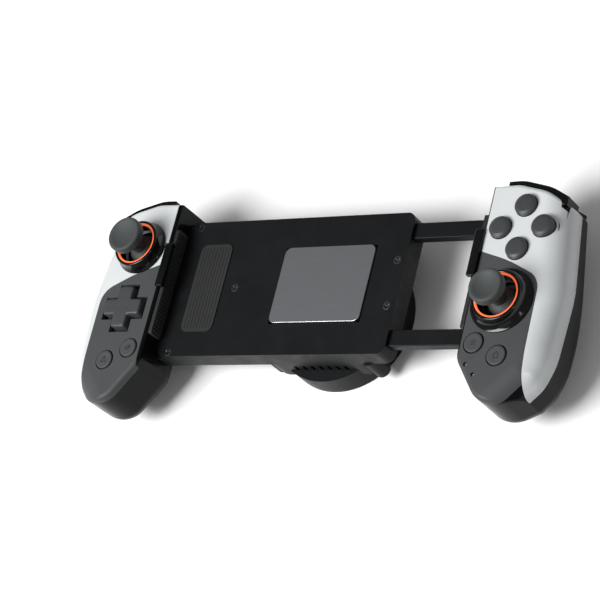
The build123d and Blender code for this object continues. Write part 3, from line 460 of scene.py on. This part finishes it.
def closeTree(tree, geometry, material):
    real = addNode(tree, "GeometryNodeRealizeInstances", None, {"Geometry": geometry})
    painted = addNode(tree, "GeometryNodeSetMaterial", {"Material": material},
                      {"Geometry": real.outputs["Geometry"]})
    output = tree.nodes.new("NodeGroupOutput")
    tree.links.new(painted.outputs["Geometry"], output.inputs["Geometry"])


def mathNode(tree, operation, a, b=None):
    node = addNode(tree, "ShaderNodeMath", {"operation": operation})
    for k, value in enumerate((a, b)):
        if value is None:
            continue
        if isinstance(value, (int, float)):
            node.inputs[k].default_value = value
        else:
            tree.links.new(value, node.inputs[k])
    return node.outputs["Value"]


def vectorOf(tree, x=0.0, y=0.0, z=0.0):
    node = tree.nodes.new("ShaderNodeCombineXYZ")
    for key, value in zip("XYZ", (x, y, z)):
        if isinstance(value, (int, float)):
            node.inputs[key].default_value = value
        else:
            tree.links.new(value, node.inputs[key])
    return node.outputs["Vector"]


def grow(name, tree, values, body, seedPoints=((0, 0, 0),), edge=0.0, smooth=35, at=(0, 0, 0)):
    # runs a tree on a few seed points and keeps the result as a plain mesh
    mesh = meshFromParts(name, seedPoints, [])
    piece = newObject(name, mesh)
    modifier = piece.modifiers.new("pattern", "NODES")
    modifier.node_group = tree
    for socket in tree.interface.items_tree:
        if socket.in_out == "INPUT" and socket.name in values:
            modifier[socket.identifier] = values[socket.name]
    bpy.context.view_layer.update()
    made = evaluatedMesh(piece)
    bpy.data.objects.remove(piece)
    made.name = name
    made.transform(Matrix.Translation(Vector(at) * mm))
    material = next(entry for entry in made.materials if entry)
    made.polygons.foreach_set("material_index", [0] * len(made.polygons))
    piece = newPiece(name, made, material, body)
    if edge:
        roundEdges(piece, edge)
        bakeModifiers(piece)
    smoothByAngle(piece.data, smooth)
    return piece


# Screws

screwSizes = {"Head Radius": 1.9 * mm, "Head Height": 1.4 * mm, "Shank Radius": 1.0 * mm,
              "Recess Width": 0.55 * mm, "Recess Reach": 2.5 * mm, "Recess Depth": 0.8 * mm}
screwRows = {
    "shell": {"headZ": -16.4, "edge": 0.12, "values": {"Shank Length": 15.8 * mm, "Facing": -1.0}},
    "cooler": {"headZ": -20.3, "edge": 0.12, "values": {"Shank Length": 12.5 * mm, "Facing": -1.0}},
    "bridge": {"headZ": -1.35, "edge": 0.1, "values": {"Head Height": 0.9 * mm, "Recess Depth": 0.5 * mm,
                                                       "Shank Length": 5.6 * mm, "Facing": 1.0}},
}


def screwTree(material):  # cross-recess screws, one on each seed point, heads along the sign of Facing
    tree, inputs = newGeometryTree("crossScrews", {**screwSizes, "Shank Length": 10 * mm, "Facing": 1.0})
    head = addNode(tree, "GeometryNodeMeshCylinder", {"Vertices": 40},
                   {"Radius": inputs["Head Radius"], "Depth": inputs["Head Height"]})
    half = mathNode(tree, "MULTIPLY", inputs["Head Height"], 0.5)
    lift = mathNode(tree, "MULTIPLY", half, inputs["Facing"])
    reach, width = inputs["Recess Reach"], inputs["Recess Width"]
    depth = mathNode(tree, "MULTIPLY", inputs["Recess Depth"], 2.0)
    cut = addNode(tree, "GeometryNodeMeshBoolean", {"operation": "DIFFERENCE", "solver": "EXACT"},
                  {"Mesh 1": head.outputs["Mesh"]})
    for x, y in ((reach, width), (width, reach)):
        cube = addNode(tree, "GeometryNodeMeshCube", None, {"Size": vectorOf(tree, x, y, depth)})
        moved = addNode(tree, "GeometryNodeTransform", None,
                        {"Geometry": cube.outputs["Mesh"], "Translation": vectorOf(tree, 0.0, 0.0, lift)})
        tree.links.new(moved.outputs["Geometry"], cut.inputs["Mesh 2"])
    shank = addNode(tree, "GeometryNodeMeshCylinder", {"Vertices": 20},
                    {"Radius": inputs["Shank Radius"], "Depth": inputs["Shank Length"]})
    below = mathNode(tree, "MULTIPLY", inputs["Shank Length"], -0.5)
    drop = mathNode(tree, "MULTIPLY", below, inputs["Facing"])
    lowered = addNode(tree, "GeometryNodeTransform", None,
                      {"Geometry": shank.outputs["Mesh"], "Translation": vectorOf(tree, 0.0, 0.0, drop)})
    both = addNode(tree, "GeometryNodeJoinGeometry")
    tree.links.new(cut.outputs["Mesh"], both.inputs["Geometry"])
    tree.links.new(lowered.outputs["Geometry"], both.inputs["Geometry"])
    points = addNode(tree, "GeometryNodeMeshToPoints", None, {"Mesh": inputs["Geometry"]})
    placed = addNode(tree, "GeometryNodeInstanceOnPoints", None,
                     {"Points": points.outputs["Points"], "Instance": both.outputs["Geometry"]})
    closeTree(tree, placed.outputs["Instances"], material)
    return tree


def makeScrewRow(node, row, tree, spots, body):
    size = screwRows[row]
    seeds = [(x, y, size["headZ"]) for x, y in spots]
    screws = grow(node + "_dressed", tree, size["values"], body, seeds, edge=size["edge"])
    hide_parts(node)


def makeScrews():
    tree = screwTree(materials["screwSteel"])
    for side, sign in sideSign.items():
        node = side + "_shell_screws"
        makeScrewRow(node, "shell", tree, [(sign * x, y) for x, y in shellScrewSpots], bodyOf[node])
    makeScrewRow("cooler_screws", "cooler", tree, coolerScrewSpots, "chassis")
    makeScrewRow("bridge_screws", "bridge", tree, bridgeScrewSpots, "chassis")


makeScrews()
print("screws set")


# Fan guard

guardSizes = {"Spokes": 24, "Spoke Width": 1.3 * mm, "Hub Radius": 9.0 * mm, "Rim Radius": 26.8 * mm,
              "Thickness": 1.5 * mm, "First Ring": 14.0 * mm, "Ring Pitch": 5.0 * mm, "Rings": 3,
              "Ring Wire": 0.6 * mm}
guardPlace = {"middleZ": turret["backZ"] + 0.8, "edge": 0.18}


def guardTree(material):  # hub, radial spokes, rings and rim of the guard, on its centre
    tree, inputs = newGeometryTree("fanGuard", guardSizes)
    length = mathNode(tree, "SUBTRACT", inputs["Rim Radius"], inputs["Hub Radius"])
    middle = mathNode(tree, "MULTIPLY", mathNode(tree, "ADD", inputs["Rim Radius"], inputs["Hub Radius"]), 0.5)
    bar = addNode(tree, "GeometryNodeMeshCube", None,
                  {"Size": vectorOf(tree, length, inputs["Spoke Width"], inputs["Thickness"])})
    moved = addNode(tree, "GeometryNodeTransform", None,
                    {"Geometry": bar.outputs["Mesh"], "Translation": vectorOf(tree, middle)})
    step = mathNode(tree, "DIVIDE", 2 * math.pi, inputs["Spokes"])
    index = addNode(tree, "GeometryNodeInputIndex").outputs["Index"]
    points = addNode(tree, "GeometryNodePoints", None, {"Count": inputs["Spokes"]})
    spokes = addNode(tree, "GeometryNodeInstanceOnPoints", None,
                     {"Points": points.outputs["Points"], "Instance": moved.outputs["Geometry"],
                      "Rotation": vectorOf(tree, 0.0, 0.0, mathNode(tree, "MULTIPLY", index, step))})
    ringPoints = addNode(tree, "GeometryNodePoints", None, {"Count": inputs["Rings"]})
    unitRing = addNode(tree, "GeometryNodeCurvePrimitiveCircle", {"Resolution": 96, "Radius": 1.0})
    ringStep = mathNode(tree, "MULTIPLY", index, inputs["Ring Pitch"])
    ringRadius = mathNode(tree, "ADD", inputs["First Ring"], ringStep)
    ringLines = addNode(tree, "GeometryNodeInstanceOnPoints", None,
                        {"Points": ringPoints.outputs["Points"], "Instance": unitRing.outputs["Curve"],
                         "Scale": vectorOf(tree, ringRadius, ringRadius, ringRadius)})
    ringCurves = addNode(tree, "GeometryNodeRealizeInstances", None,
                         {"Geometry": ringLines.outputs["Instances"]})
    wire = addNode(tree, "GeometryNodeCurvePrimitiveCircle", {"Resolution": 10},
                   {"Radius": inputs["Ring Wire"]})
    rings = addNode(tree, "GeometryNodeCurveToMesh", None,
                    {"Curve": ringCurves.outputs["Geometry"], "Profile Curve": wire.outputs["Curve"]})
    rimLine = addNode(tree, "GeometryNodeCurvePrimitiveCircle", {"Resolution": 128},
                      {"Radius": inputs["Rim Radius"]})
    rimWidth = mathNode(tree, "MULTIPLY", inputs["Spoke Width"], 1.8)
    rimSection = addNode(tree, "GeometryNodeCurvePrimitiveQuadrilateral", None,
                         {"Width": rimWidth, "Height": inputs["Thickness"]})
    rim = addNode(tree, "GeometryNodeCurveToMesh", None,
                  {"Curve": rimLine.outputs["Curve"], "Profile Curve": rimSection.outputs["Curve"]})
    hubDepth = mathNode(tree, "MULTIPLY", inputs["Thickness"], 1.05)
    hub = addNode(tree, "GeometryNodeMeshCylinder", {"Vertices": 72},
                  {"Radius": inputs["Hub Radius"], "Depth": hubDepth})
    both = addNode(tree, "GeometryNodeJoinGeometry")
    for made in (spokes.outputs["Instances"], rings.outputs["Mesh"], rim.outputs["Mesh"], hub.outputs["Mesh"]):
        tree.links.new(made, both.inputs["Geometry"])
    closeTree(tree, both.outputs["Geometry"], material)
    return tree


def makeGuard():
    guard = grow("fan_grille_dressed", guardTree(materials["satinBlackMoulding"]), {}, "chassis",
                 at=(0, turret["y"], guardPlace["middleZ"]), edge=guardPlace["edge"])
    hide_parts("fan_grille")


makeGuard()
print("fan guard woven")


# Fan rotor

rotorSizes = {"Blades": 9, "Root Radius": 9.2 * mm, "Tip Radius": 24.9 * mm, "Rise": 3.7 * mm, "Sweep": 0.62,
              "Overlap": 0.50}
rotorPlace = {"middleZ": -22.9, "bladeWall": 0.7}
hubSizes = {"radius": 9.5, "frontZ": -20.9, "backZ": -24.9, "round": 0.8, "bevel": 0.3, "flat": 8.4}


def rotorTree(material):  # one swept blade as a grid, bent by its radius, and copied round the hub
    tree, inputs = newGeometryTree("sweptBlades", rotorSizes)
    grid = addNode(tree, "GeometryNodeMeshGrid", {"Size X": 1.0, "Size Y": 1.0, "Vertices X": 14,
                                                  "Vertices Y": 10})
    place = addNode(tree, "GeometryNodeInputPosition")
    part = addNode(tree, "ShaderNodeSeparateXYZ", None, {"Vector": place.outputs["Position"]})
    along = mathNode(tree, "ADD", part.outputs["X"], 0.5)
    across = part.outputs["Y"]
    span = mathNode(tree, "SUBTRACT", inputs["Tip Radius"], inputs["Root Radius"])
    radius = mathNode(tree, "ADD", inputs["Root Radius"], mathNode(tree, "MULTIPLY", along, span))
    swept = mathNode(tree, "MULTIPLY", mathNode(tree, "POWER", along, 1.4), inputs["Sweep"])
    angle = mathNode(tree, "ADD", mathNode(tree, "MULTIPLY", across, inputs["Overlap"]), swept)
    x = mathNode(tree, "MULTIPLY", radius, mathNode(tree, "COSINE", angle))
    y = mathNode(tree, "MULTIPLY", radius, mathNode(tree, "SINE", angle))
    flatter = mathNode(tree, "SUBTRACT", 1.0, mathNode(tree, "MULTIPLY", along, 0.25))
    z = mathNode(tree, "MULTIPLY", mathNode(tree, "MULTIPLY", across, inputs["Rise"]), flatter)
    blade = addNode(tree, "GeometryNodeSetPosition", None,
                    {"Geometry": grid.outputs["Mesh"], "Position": vectorOf(tree, x, y, z)})
    points = addNode(tree, "GeometryNodePoints", None, {"Count": inputs["Blades"]})
    index = addNode(tree, "GeometryNodeInputIndex").outputs["Index"]
    step = mathNode(tree, "DIVIDE", 2 * math.pi, inputs["Blades"])
    blades = addNode(tree, "GeometryNodeInstanceOnPoints", None,
                     {"Points": points.outputs["Points"], "Instance": blade.outputs["Geometry"],
                      "Rotation": vectorOf(tree, 0.0, 0.0, mathNode(tree, "MULTIPLY", index, step))})
    closeTree(tree, blades.outputs["Instances"], material)
    return tree


def makeRotor():
    rotor = grow("fan_rotor_dressed", rotorTree(materials["innerMoulding"]), {}, "fan_rotor",
                 at=(0, turret["y"], rotorPlace["middleZ"]), smooth=60)
    shell = rotor.modifiers.new("bladeWall", "SOLIDIFY")
    shell.thickness = rotorPlace["bladeWall"] * mm
    shell.offset = 0.0
    bakeModifiers(rotor)
    radius, front, back = hubSizes["radius"], hubSizes["frontZ"], hubSizes["backZ"]
    profile = [(0.0, back), (hubSizes["flat"], back)]
    profile += arcPoints(radius - hubSizes["round"], back + hubSizes["round"], hubSizes["round"], -90, 0, 5)
    profile += [(radius, front - hubSizes["bevel"]), (radius - hubSizes["bevel"], front), (0.0, front)]
    joinMeshes(rotor.data, turned("fanHub", profile, (0, turret["y"]), turnSteps["usual"]))
    smoothByAngle(rotor.data, 40)
    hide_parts("fan_rotor")


makeRotor()
print("fan rotor bladed")


# Ribbed rubber where the phone is held

restPad = {
    "values": {"Ribs": 9, "Pitch": 1.6 * mm, "Rib Radius": 0.34 * mm, "Rib Length": 37 * mm},
    "ribsAt": (-51.6, 0, -0.45), "low": (-66, -20, -0.8), "high": (-50, 20, -0.32), "corner": 3.0,
}
clampPad = {
    "values": {"Ribs": 29, "Pitch": 1.6 * mm, "Rib Radius": 0.4 * mm, "Rib Length": 5.6 * mm},
    "ribsX": 74.42, "ribsY": -22.4, "ribsZ": 3.9, "front": 74.4, "back": 76.0, "halfLength": 24,
    "lowZ": 0.5, "highZ": 7.3, "corner": 0.8,
}


def ribTree(material):  # half-round ribs along X on a row of points, for pads; turned afterwards
    tree, inputs = newGeometryTree("padRibs", restPad["values"])
    line = addNode(tree, "GeometryNodeMeshLine", None,
                   {"Count": inputs["Ribs"], "Offset": vectorOf(tree, 0.0, inputs["Pitch"])})
    bar = addNode(tree, "GeometryNodeMeshCylinder", {"Vertices": 12, "Side Segments": 1},
                  {"Radius": inputs["Rib Radius"], "Depth": inputs["Rib Length"]})
    lying = addNode(tree, "GeometryNodeTransform", {"Rotation": (0.0, math.pi / 2, 0.0)},
                    {"Geometry": bar.outputs["Mesh"]})
    placed = addNode(tree, "GeometryNodeInstanceOnPoints", None,
                     {"Points": line.outputs["Mesh"], "Instance": lying.outputs["Geometry"]})
    closeTree(tree, placed.outputs["Instances"], material)
    return tree


def roundedSlab(name, low, high, corner, axis="Z"):  # closed slab with rounded corners round one axis
    order = {"Z": (0, 1, 2), "X": (1, 2, 0)}[axis]
    a0, a1 = low[order[0]], high[order[0]]
    b0, b1 = low[order[1]], high[order[1]]
    outline = []
    for ca, cb, start in ((a1 - corner, b1 - corner, 0), (a0 + corner, b1 - corner, 90),
                          (a0 + corner, b0 + corner, 180), (a1 - corner, b0 + corner, 270)):
        outline += arcPoints(ca, cb, corner, start, start + 90, 8)
    count = len(outline)
    vertices = []
    for level in (low[order[2]], high[order[2]]):
        for a, b in outline:
            point = [0, 0, 0]
            point[order[0]], point[order[1]], point[order[2]] = a, b, level
            vertices.append(point)
    faces = [list(range(count))[::-1], list(range(count, 2 * count))]
    faces += [[k, (k + 1) % count, count + (k + 1) % count, count + k] for k in range(count)]
    return turnFacesOut(meshFromParts(name, vertices, faces))


def makePads():
    tree = ribTree(materials["clampSilicone"])
    rest = grow("phone_rest_pad_dressed", tree, restPad["values"], "chassis")
    rest.data.transform(Matrix.Rotation(math.pi / 2, 4, "Z"))
    rest.data.transform(Matrix.Translation(Vector(restPad["ribsAt"]) * mm))
    joinMeshes(rest.data, roundedSlab("restSlab", restPad["low"], restPad["high"], restPad["corner"]))
    smoothByAngle(rest.data, 35)
    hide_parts("phone_rest_pad")
    half = clampPad["halfLength"]
    for side, sign in sideSign.items():
        node = side + "_clamp_pad"
        pad = grow(node + "_dressed", tree, clampPad["values"], bodyOf[node])
        pad.data.transform(Matrix.Rotation(math.pi / 2, 4, "Y"))
        place = Vector((sign * clampPad["ribsX"], clampPad["ribsY"], clampPad["ribsZ"]))
        pad.data.transform(Matrix.Translation(place * mm))
        low, high = sorted((sign * clampPad["front"], sign * clampPad["back"]))
        joinMeshes(pad.data, roundedSlab("clampSlab", (low, -half, clampPad["lowZ"]),
                                         (high, half, clampPad["highZ"]), clampPad["corner"], "X"))
        smoothByAngle(pad.data, 35)
        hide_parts(side + "_clamp_pad")


makePads()
print("pads ribbed")


# Stick caps

capSizes = {"top": 22.9, "rim": 4.0, "dish": 1.5, "neck": 3.0, "skirt": 6.0, "skirtLow": 8.0, "ball": 9.8,
            "pivotZ": 1.0, "shoulder": 4.8, "shoulderZ": 17.7, "rimWidth": 2.3, "lip": 0.35}
capRadius = {"right": 7.2, "left": 7.9}


def capProfile(radius):  # from the underside of the ball skirt up the neck, round the rim and into the dish
    top, neck, ball, skirt = capSizes["top"], capSizes["neck"], capSizes["ball"], capSizes["skirt"]
    shoulder, shoulderZ, lip = capSizes["shoulder"], capSizes["shoulderZ"], capSizes["lip"]
    low = top - capSizes["rim"]
    start = math.degrees(math.acos(skirt / ball))
    end = math.degrees(math.acos(neck / ball))
    profile = [(0.0, capSizes["skirtLow"]), (skirt - 0.1, capSizes["skirtLow"])]
    profile += arcPoints(0.0, capSizes["pivotZ"], ball - 0.02, start, end, 6)
    profile += [(neck, shoulderZ - 1.6), (neck + 0.5, shoulderZ - 0.8)]
    profile += [(shoulder - 0.4, shoulderZ + 0.05), (shoulder + 0.6, low - 0.55)]
    profile += [(radius - 1.0, low - 0.02)] + arcPoints(radius - 0.8, low + 0.8, 0.8, -70, 0, 5)
    profile += [(radius - 0.02, (low + top) / 2)]
    profile += arcPoints(radius - 1.0, top - 1.0, 1.0, 0, 100, 8)
    rimIn = radius - capSizes["rimWidth"]
    profile += [(rimIn + 0.4, top - 0.12), (rimIn, top - lip)]
    return profile + crownPoints(rimIn, top - lip, lip - capSizes["dish"], 10)


def makeStickCaps():
    for side, spot in stickSpot.items():
        node = side + "_stick_cap"
        cap = turned(node, capProfile(capRadius[side]), spot, turnSteps["wide"])
        standIn(node, cap, "stickRubber", 50)


makeStickCaps()
print("stick caps turned")


# Collars

collarSizes = {"bore": 8.6, "top": 14.1, "topRadius": 10.1, "seat": {"right": 13.3, "left": 11.9},
               "ringOut": 9.4, "ringDepth": 1.3, "footHeight": 0.7, "lip": 0.6, "flareSteps": 8, "hollow": 0.35}


def collarProfile(seat):  # up the outside, over the lip and down the ring's seat and the bore
    base, top, mouth = faceZ, collarSizes["top"], collarSizes["topRadius"]
    bore, ring, lip = collarSizes["bore"], collarSizes["ringOut"], collarSizes["lip"]
    foot = base + collarSizes["footHeight"]
    rise = top - lip - foot
    profile = [(bore, base), (seat - 0.25, base), (seat, base + 0.2), (seat - 0.05, foot)]
    for k in range(1, collarSizes["flareSteps"] + 1):  # hollow flare up to the mouth
        t = k / collarSizes["flareSteps"]
        r = seat - 0.15 + (mouth + 0.45 - seat + 0.15) * math.sin(t * math.pi / 2) ** 0.9
        curved = (1 - math.cos(t * math.pi / 2)) * collarSizes["hollow"]
        profile.append((r, foot + rise * (curved + (1 - collarSizes["hollow"]) * t)))
    profile += arcPoints(mouth - 0.15, top - lip, lip, 0, 90, 6)
    profile += [(ring + 0.25, top), (ring, top - 0.15), (ring, top - collarSizes["ringDepth"])]
    profile += [(bore, top - collarSizes["ringDepth"]), (bore, base)]
    return profile


def makeCollars():
    for side, spot in stickSpot.items():
        node = side + "_stick_collar"
        collar = turned(node, collarProfile(collarSizes["seat"][side]), spot, turnSteps["wide"])
        standIn(node, collar, "collarPolish", 40)


makeCollars()
print("collars polished")


# Face buttons

keySizes = {"stemRadius": 1.8, "stemLow": 2.0, "flangeLow": 5.4, "flangeHigh": 6.5}
faceButton = {"radius": 4.5, "top": 10.8, "flange": 5.5, "side": 0.85, "round": 0.35, "crown": 0.16,
              "crownInset": 1.2}
pipSizes = {"radius": 0.5, "tip": 0.38, "reach": 1.25, "depth": 0.2, "rise": 0.02}


def keyStem(flange, radius):  # stem and flange below a key, up to its side
    stem, low, high = keySizes["stemRadius"], keySizes["flangeLow"], keySizes["flangeHigh"]
    return [(0.0, keySizes["stemLow"]), (stem, keySizes["stemLow"]), (stem, low), (flange, low), (flange, high),
            (radius, high)]


def makeFaceButtons():
    radius, top, side = faceButton["radius"], faceButton["top"], faceButton["side"]
    edge, crown = faceButton["round"], faceButton["crown"]
    profile = keyStem(faceButton["flange"], radius) + [(radius, top - side)]
    profile += arcPoints(radius - edge, top - side, edge, 0, 42, 3)
    profile += [(radius - 1.0, top - 0.28), (radius - faceButton["crownInset"], top - crown)]
    profile += crownPoints(radius - faceButton["crownInset"], top - crown, crown, 8)
    offsets = {"top": (0, 1), "right": (1, 0), "bottom": (0, -1), "left": (-1, 0)}
    for count, (place, (dx, dy)) in enumerate(offsets.items(), 1):
        node = "face_button_" + place
        spot = (facePad["x"] + dx * facePad["reach"], facePad["y"] + dy * facePad["reach"])
        standIn(node, turned(node, profile, spot, turnSteps["usual"]), "buttonCharcoal", 28)
        makePips(node + "_mark", spot, count, top - pipSizes["rise"], node)


def makePips(name, spot, count, level, body):  # a generic mark: one to four small raised pips
    radius, rise = pipSizes["radius"], pipSizes["rise"]
    low, high = level - pipSizes["depth"], level + rise
    profile = [(0.0, low), (radius, low), (radius, level - rise), (pipSizes["tip"], high), (0.0, high)]
    reach = 0.0 if count == 1 else pipSizes["reach"]
    meshes = []
    for k in range(count):
        angle = 2 * math.pi * k / count + math.pi / 2
        centre = (spot[0] + reach * math.cos(angle), spot[1] + reach * math.sin(angle))
        meshes.append(turned(name, profile, centre, turnSteps["small"]))
    joinMeshes(meshes[0], *meshes[1:])
    piece = newPiece(name, meshes[0], materials["markRelief"], body)
    smoothByAngle(piece.data, 40)


makeFaceButtons()
print("face buttons capped")


# Direction pad

padSizes = {"reach": 9.3, "arm": 3.5, "corner": 1.1, "inner": 0.9, "top": 10.7, "low": 4.2, "dish": 0.15}
skirtSizes = {"radius": 10.9, "high": 5.4, "bevel": 0.3}
padEdge = [(0.0, 0.7), (0.12, 0.35), (0.45, 0.08), (1.0, 0.0)]  # inset and depth of the rounded edge
padRest = [0.8, 0.55, 0.3, 0.12]  # rings of the thumb rest, as shares of the cross


def crossOutline(reach, arm, corner, inner):  # plan of the cross, round at its arm ends and inner corners
    points = []
    for turn in (0, 90, 180, 270):
        c, s = math.cos(math.radians(turn)), math.sin(math.radians(turn))
        part = arcPoints(reach - corner, -arm + corner, corner, -90, 0, 5)
        part += arcPoints(reach - corner, arm - corner, corner, 0, 90, 5)
        part += arcPoints(arm + inner, arm + inner, inner, 270, 180, 5)
        points += [(x * c - y * s, x * s + y * c) for x, y in part]
    return points


def makeDirectionPad():
    cx, cy = dpadSpot
    low, top = padSizes["low"], padSizes["top"]
    rings = []
    for inset, level in [(0.0, low)] + [(inset, top - depth) for inset, depth in padEdge]:
        outline = crossOutline(padSizes["reach"] - inset, padSizes["arm"] - inset, padSizes["corner"],
                               padSizes["inner"] + inset * 0.4)
        rings.append([(cx + x, cy + y, level) for x, y in outline])
    edgeRing = rings[-1]
    for share in padRest:  # the thumb rest sinks toward the middle
        level = top - padSizes["dish"] * (1 - share) ** 1.5
        rings.append([(cx + (x - cx) * share, cy + (y - cy) * share, level) for x, y, _ in edgeRing])
    count = len(edgeRing)
    vertices = [point for ring in rings for point in ring]
    faces = [list(range(count))[::-1], list(range(len(vertices) - count, len(vertices)))]
    for start in range(0, len(vertices) - count, count):
        faces += [[start + k, start + (k + 1) % count, start + count + (k + 1) % count, start + count + k]
                  for k in range(count)]
    pad = standIn("direction_pad", meshFromParts("crossPad", vertices, faces), "buttonCharcoal", 40)
    radius, high, bevel = skirtSizes["radius"], skirtSizes["high"], skirtSizes["bevel"]
    profile = [(0.0, low), (radius - bevel, low), (radius, low + bevel), (radius, high - bevel),
               (radius - bevel, high), (0.0, high)]
    joinMeshes(pad.data, turned("padSkirt", profile, dpadSpot, turnSteps["usual"]))


makeDirectionPad()
print("direction pad shaped")


# Small buttons and their generic marks

smallButton = {"radius": 4.0, "top": 9.2, "flange": 5.0, "round": 0.4, "dishInset": 0.55, "dishEdge": 0.03,
               "dish": 0.10}
markSizes = {"scale": 0.8, "width": 0.32, "sink": 0.08, "depth": 0.1, "rise": 0.02}


def barStrip(points, width, level, closed):  # flat printed line through the points, in millimetres
    vertices, faces = [], []
    ends = points[1:] + points[:1] if closed else points[1:]
    for (ax, ay), (bx, by) in zip(points, ends):
        length = math.hypot(bx - ax, by - ay)
        ex, ey = (bx - ax) / length * width / 2, (by - ay) / length * width / 2
        nx, ny = -ey, ex
        n = len(vertices)
        for z in (level - markSizes["depth"], level + markSizes["rise"]):
            vertices += [(ax - ex - nx, ay - ey - ny, z), (bx + ex - nx, by + ey - ny, z),
                         (bx + ex + nx, by + ey + ny, z), (ax - ex + nx, ay - ey + ny, z)]
        faces += [[n, n + 3, n + 2, n + 1], [n + 4, n + 5, n + 6, n + 7]]
        faces += [[n + k, n + (k + 1) % 4, n + 4 + (k + 1) % 4, n + 4 + k] for k in range(4)]
    return vertices, faces


def makeSmallButtons():
    marks = {
        "menu_button": [([(-1.3, 1.0), (1.3, 1.0)], False), ([(-1.3, 0), (1.3, 0)], False),
                        ([(-1.3, -1.0), (1.3, -1.0)], False)],
        "home_button": [([(-1.6, 0.1), (0, 1.6), (1.6, 0.1)], False),
                        ([(-1.1, 0.1), (-1.1, -1.3), (1.1, -1.3), (1.1, 0.1)], False)],
        "view_button": [([(-1.3, -0.9), (0.5, -0.9), (0.5, 0.5), (-1.3, 0.5)], True),
                        ([(-0.4, 1.2), (1.3, 1.2), (1.3, -0.2)], False)],
        "share_button": [([(-1.3, -0.2), (-1.3, -1.3), (1.3, -1.3), (1.3, -0.2)], False),
                         ([(0, -0.4), (0, 1.5)], False), ([(-0.7, 0.8), (0, 1.5), (0.7, 0.8)], False)],
    }
    (nearX, nearY), (farX, farY) = smallSpots
    spots = {"menu_button": (nearX, nearY), "home_button": (farX, farY), "view_button": (-nearX, nearY),
             "share_button": (-farX, farY)}
    radius, top, edge = smallButton["radius"], smallButton["top"], smallButton["round"]
    profile = keyStem(smallButton["flange"], radius) + [(radius, top - edge)]
    profile += arcPoints(radius - edge, top - edge, edge, 0, 70, 4)
    profile += crownPoints(radius - smallButton["dishInset"], top - smallButton["dishEdge"],
                           -smallButton["dish"], 8)
    scale = markSizes["scale"]
    for node, strokes in marks.items():
        x, y = spots[node]
        standIn(node, turned(node, profile, (x, y), turnSteps["usual"]), "graphiteGrain", 35)
        vertices, faces = [], []
        for points, closed in strokes:
            line = [(x + px * scale, y + py * scale) for px, py in points]
            more, moreFaces = barStrip(line, markSizes["width"], top - markSizes["sink"], closed)
            faces += [[len(vertices) + i for i in face] for face in moreFaces]
            vertices += more
        newPiece(node + "_mark", meshFromParts(node + "_mark", vertices, faces), materials["markInk"], node)


makeSmallButtons()
print("small buttons marked")


# Carried-over solids with rounded edges and joined, smooth skins

sideEdges = {"white_cover": 0.18, "dark_cover": 0.18, "rear_shell": 0.15, "bumper": 0.7, "trigger": 0.9,
             "phone_lip": 0.5, "stick_light_ring": 0.15, "stick_module": 0.2, "stick_stem": 0.0,
             "stick_gimbal": 0.0}
middleEdges = {"bridge_tray": 0.5, "bridge_cover": 0.15, "slider_frame": 0.3, "cooler_housing": 0.3,
               "cold_plate": 0.0, "heat_sink": 0.1, "fan_mount": 0.2}


def dressSolids():
    for side in sideSign:
        for part, edge in sideEdges.items():
            dressedCopy(side + "_" + part, edge)
    for node, edge in middleEdges.items():
        dressedCopy(node, edge)


dressSolids()
print("solids dressed")


# Studio

studio = {"floorZ": turret["backZ"] - 0.05, "floorSize": 6.0, "floorSeen": "#FFFFFF", "floorGiven": "#6A6A6A",
          "worldLight": 0.22}
lamps = {
    "overheadSoftbox": {"direction": (-0.45, -0.55, 1.0), "distance": 1.2, "size": (0.7, 0.6), "power": 20.0},
    "frontFill": {"direction": (0.1, -0.9, 0.5), "distance": 1.2, "size": (0.8, 0.6), "power": 0.6},
    "sideStrip": {"direction": (0.72, -0.32, 0.6), "distance": 0.9, "size": (0.05, 0.5), "power": 0.4},
}


def makeFloor():
    half, z = studio["floorSize"] / 2 / mm, studio["floorZ"]
    corners = [(-half, -half, z), (half, -half, z), (half, half, z), (-half, half, z)]
    mesh = meshFromParts("studioFloor", corners, [[0, 1, 2, 3]])
    floor = newObject("studioFloor", mesh)
    material, tree, shader = newMaterial("paperSweep")
    shader.inputs["Roughness"].default_value = 0.9
    shader.inputs["Specular IOR Level"].default_value = 0.1
    path = addNode(tree, "ShaderNodeLightPath")  # white where it is seen, grey for the light that it gives back
    seen = mathNode(tree, "MAXIMUM", path.outputs["Is Camera Ray"], path.outputs["Is Glossy Ray"])
    seen = mathNode(tree, "MAXIMUM", seen, path.outputs["Is Transmission Ray"])
    tone = mixColours(tree, studio["floorGiven"], studio["floorSeen"], seen)
    tree.links.new(tone.outputs["Result"], shader.inputs["Base Color"])
    mesh.materials.append(material)


def makeLamp(name, place):
    data = bpy.data.lights.new(name, "AREA")
    data.shape = "RECTANGLE"
    data.size, data.size_y = place["size"]
    data.energy = place["power"]
    lamp = newObject(name, data)
    toward = Vector(place["direction"]).normalized()
    lamp.location = toward * place["distance"]
    lamp.rotation_mode = "QUATERNION"
    lamp.rotation_quaternion = toward.to_track_quat("Z", "Y")


def makeWorld():
    world = bpy.data.worlds.new("studioWorld")
    bpy.context.scene.world = world
    world.use_nodes = True
    tree = world.node_tree
    tree.nodes.clear()
    path = addNode(tree, "ShaderNodeLightPath")
    strength = rangeOf(tree, path.outputs["Is Camera Ray"], 0.0, 1.0, studio["worldLight"], 1.0)
    sky = addNode(tree, "ShaderNodeBackground", {"Color": linear("#FFFFFF")}, {"Strength": strength})
    output = tree.nodes.new("ShaderNodeOutputWorld")
    tree.links.new(sky.outputs["Background"], output.inputs["Surface"])


makeFloor()
makeWorld()
for lampName, lampPlace in lamps.items():
    makeLamp(lampName, lampPlace)
bpy.context.scene.view_settings.view_transform = "Standard"
print("studio lit")
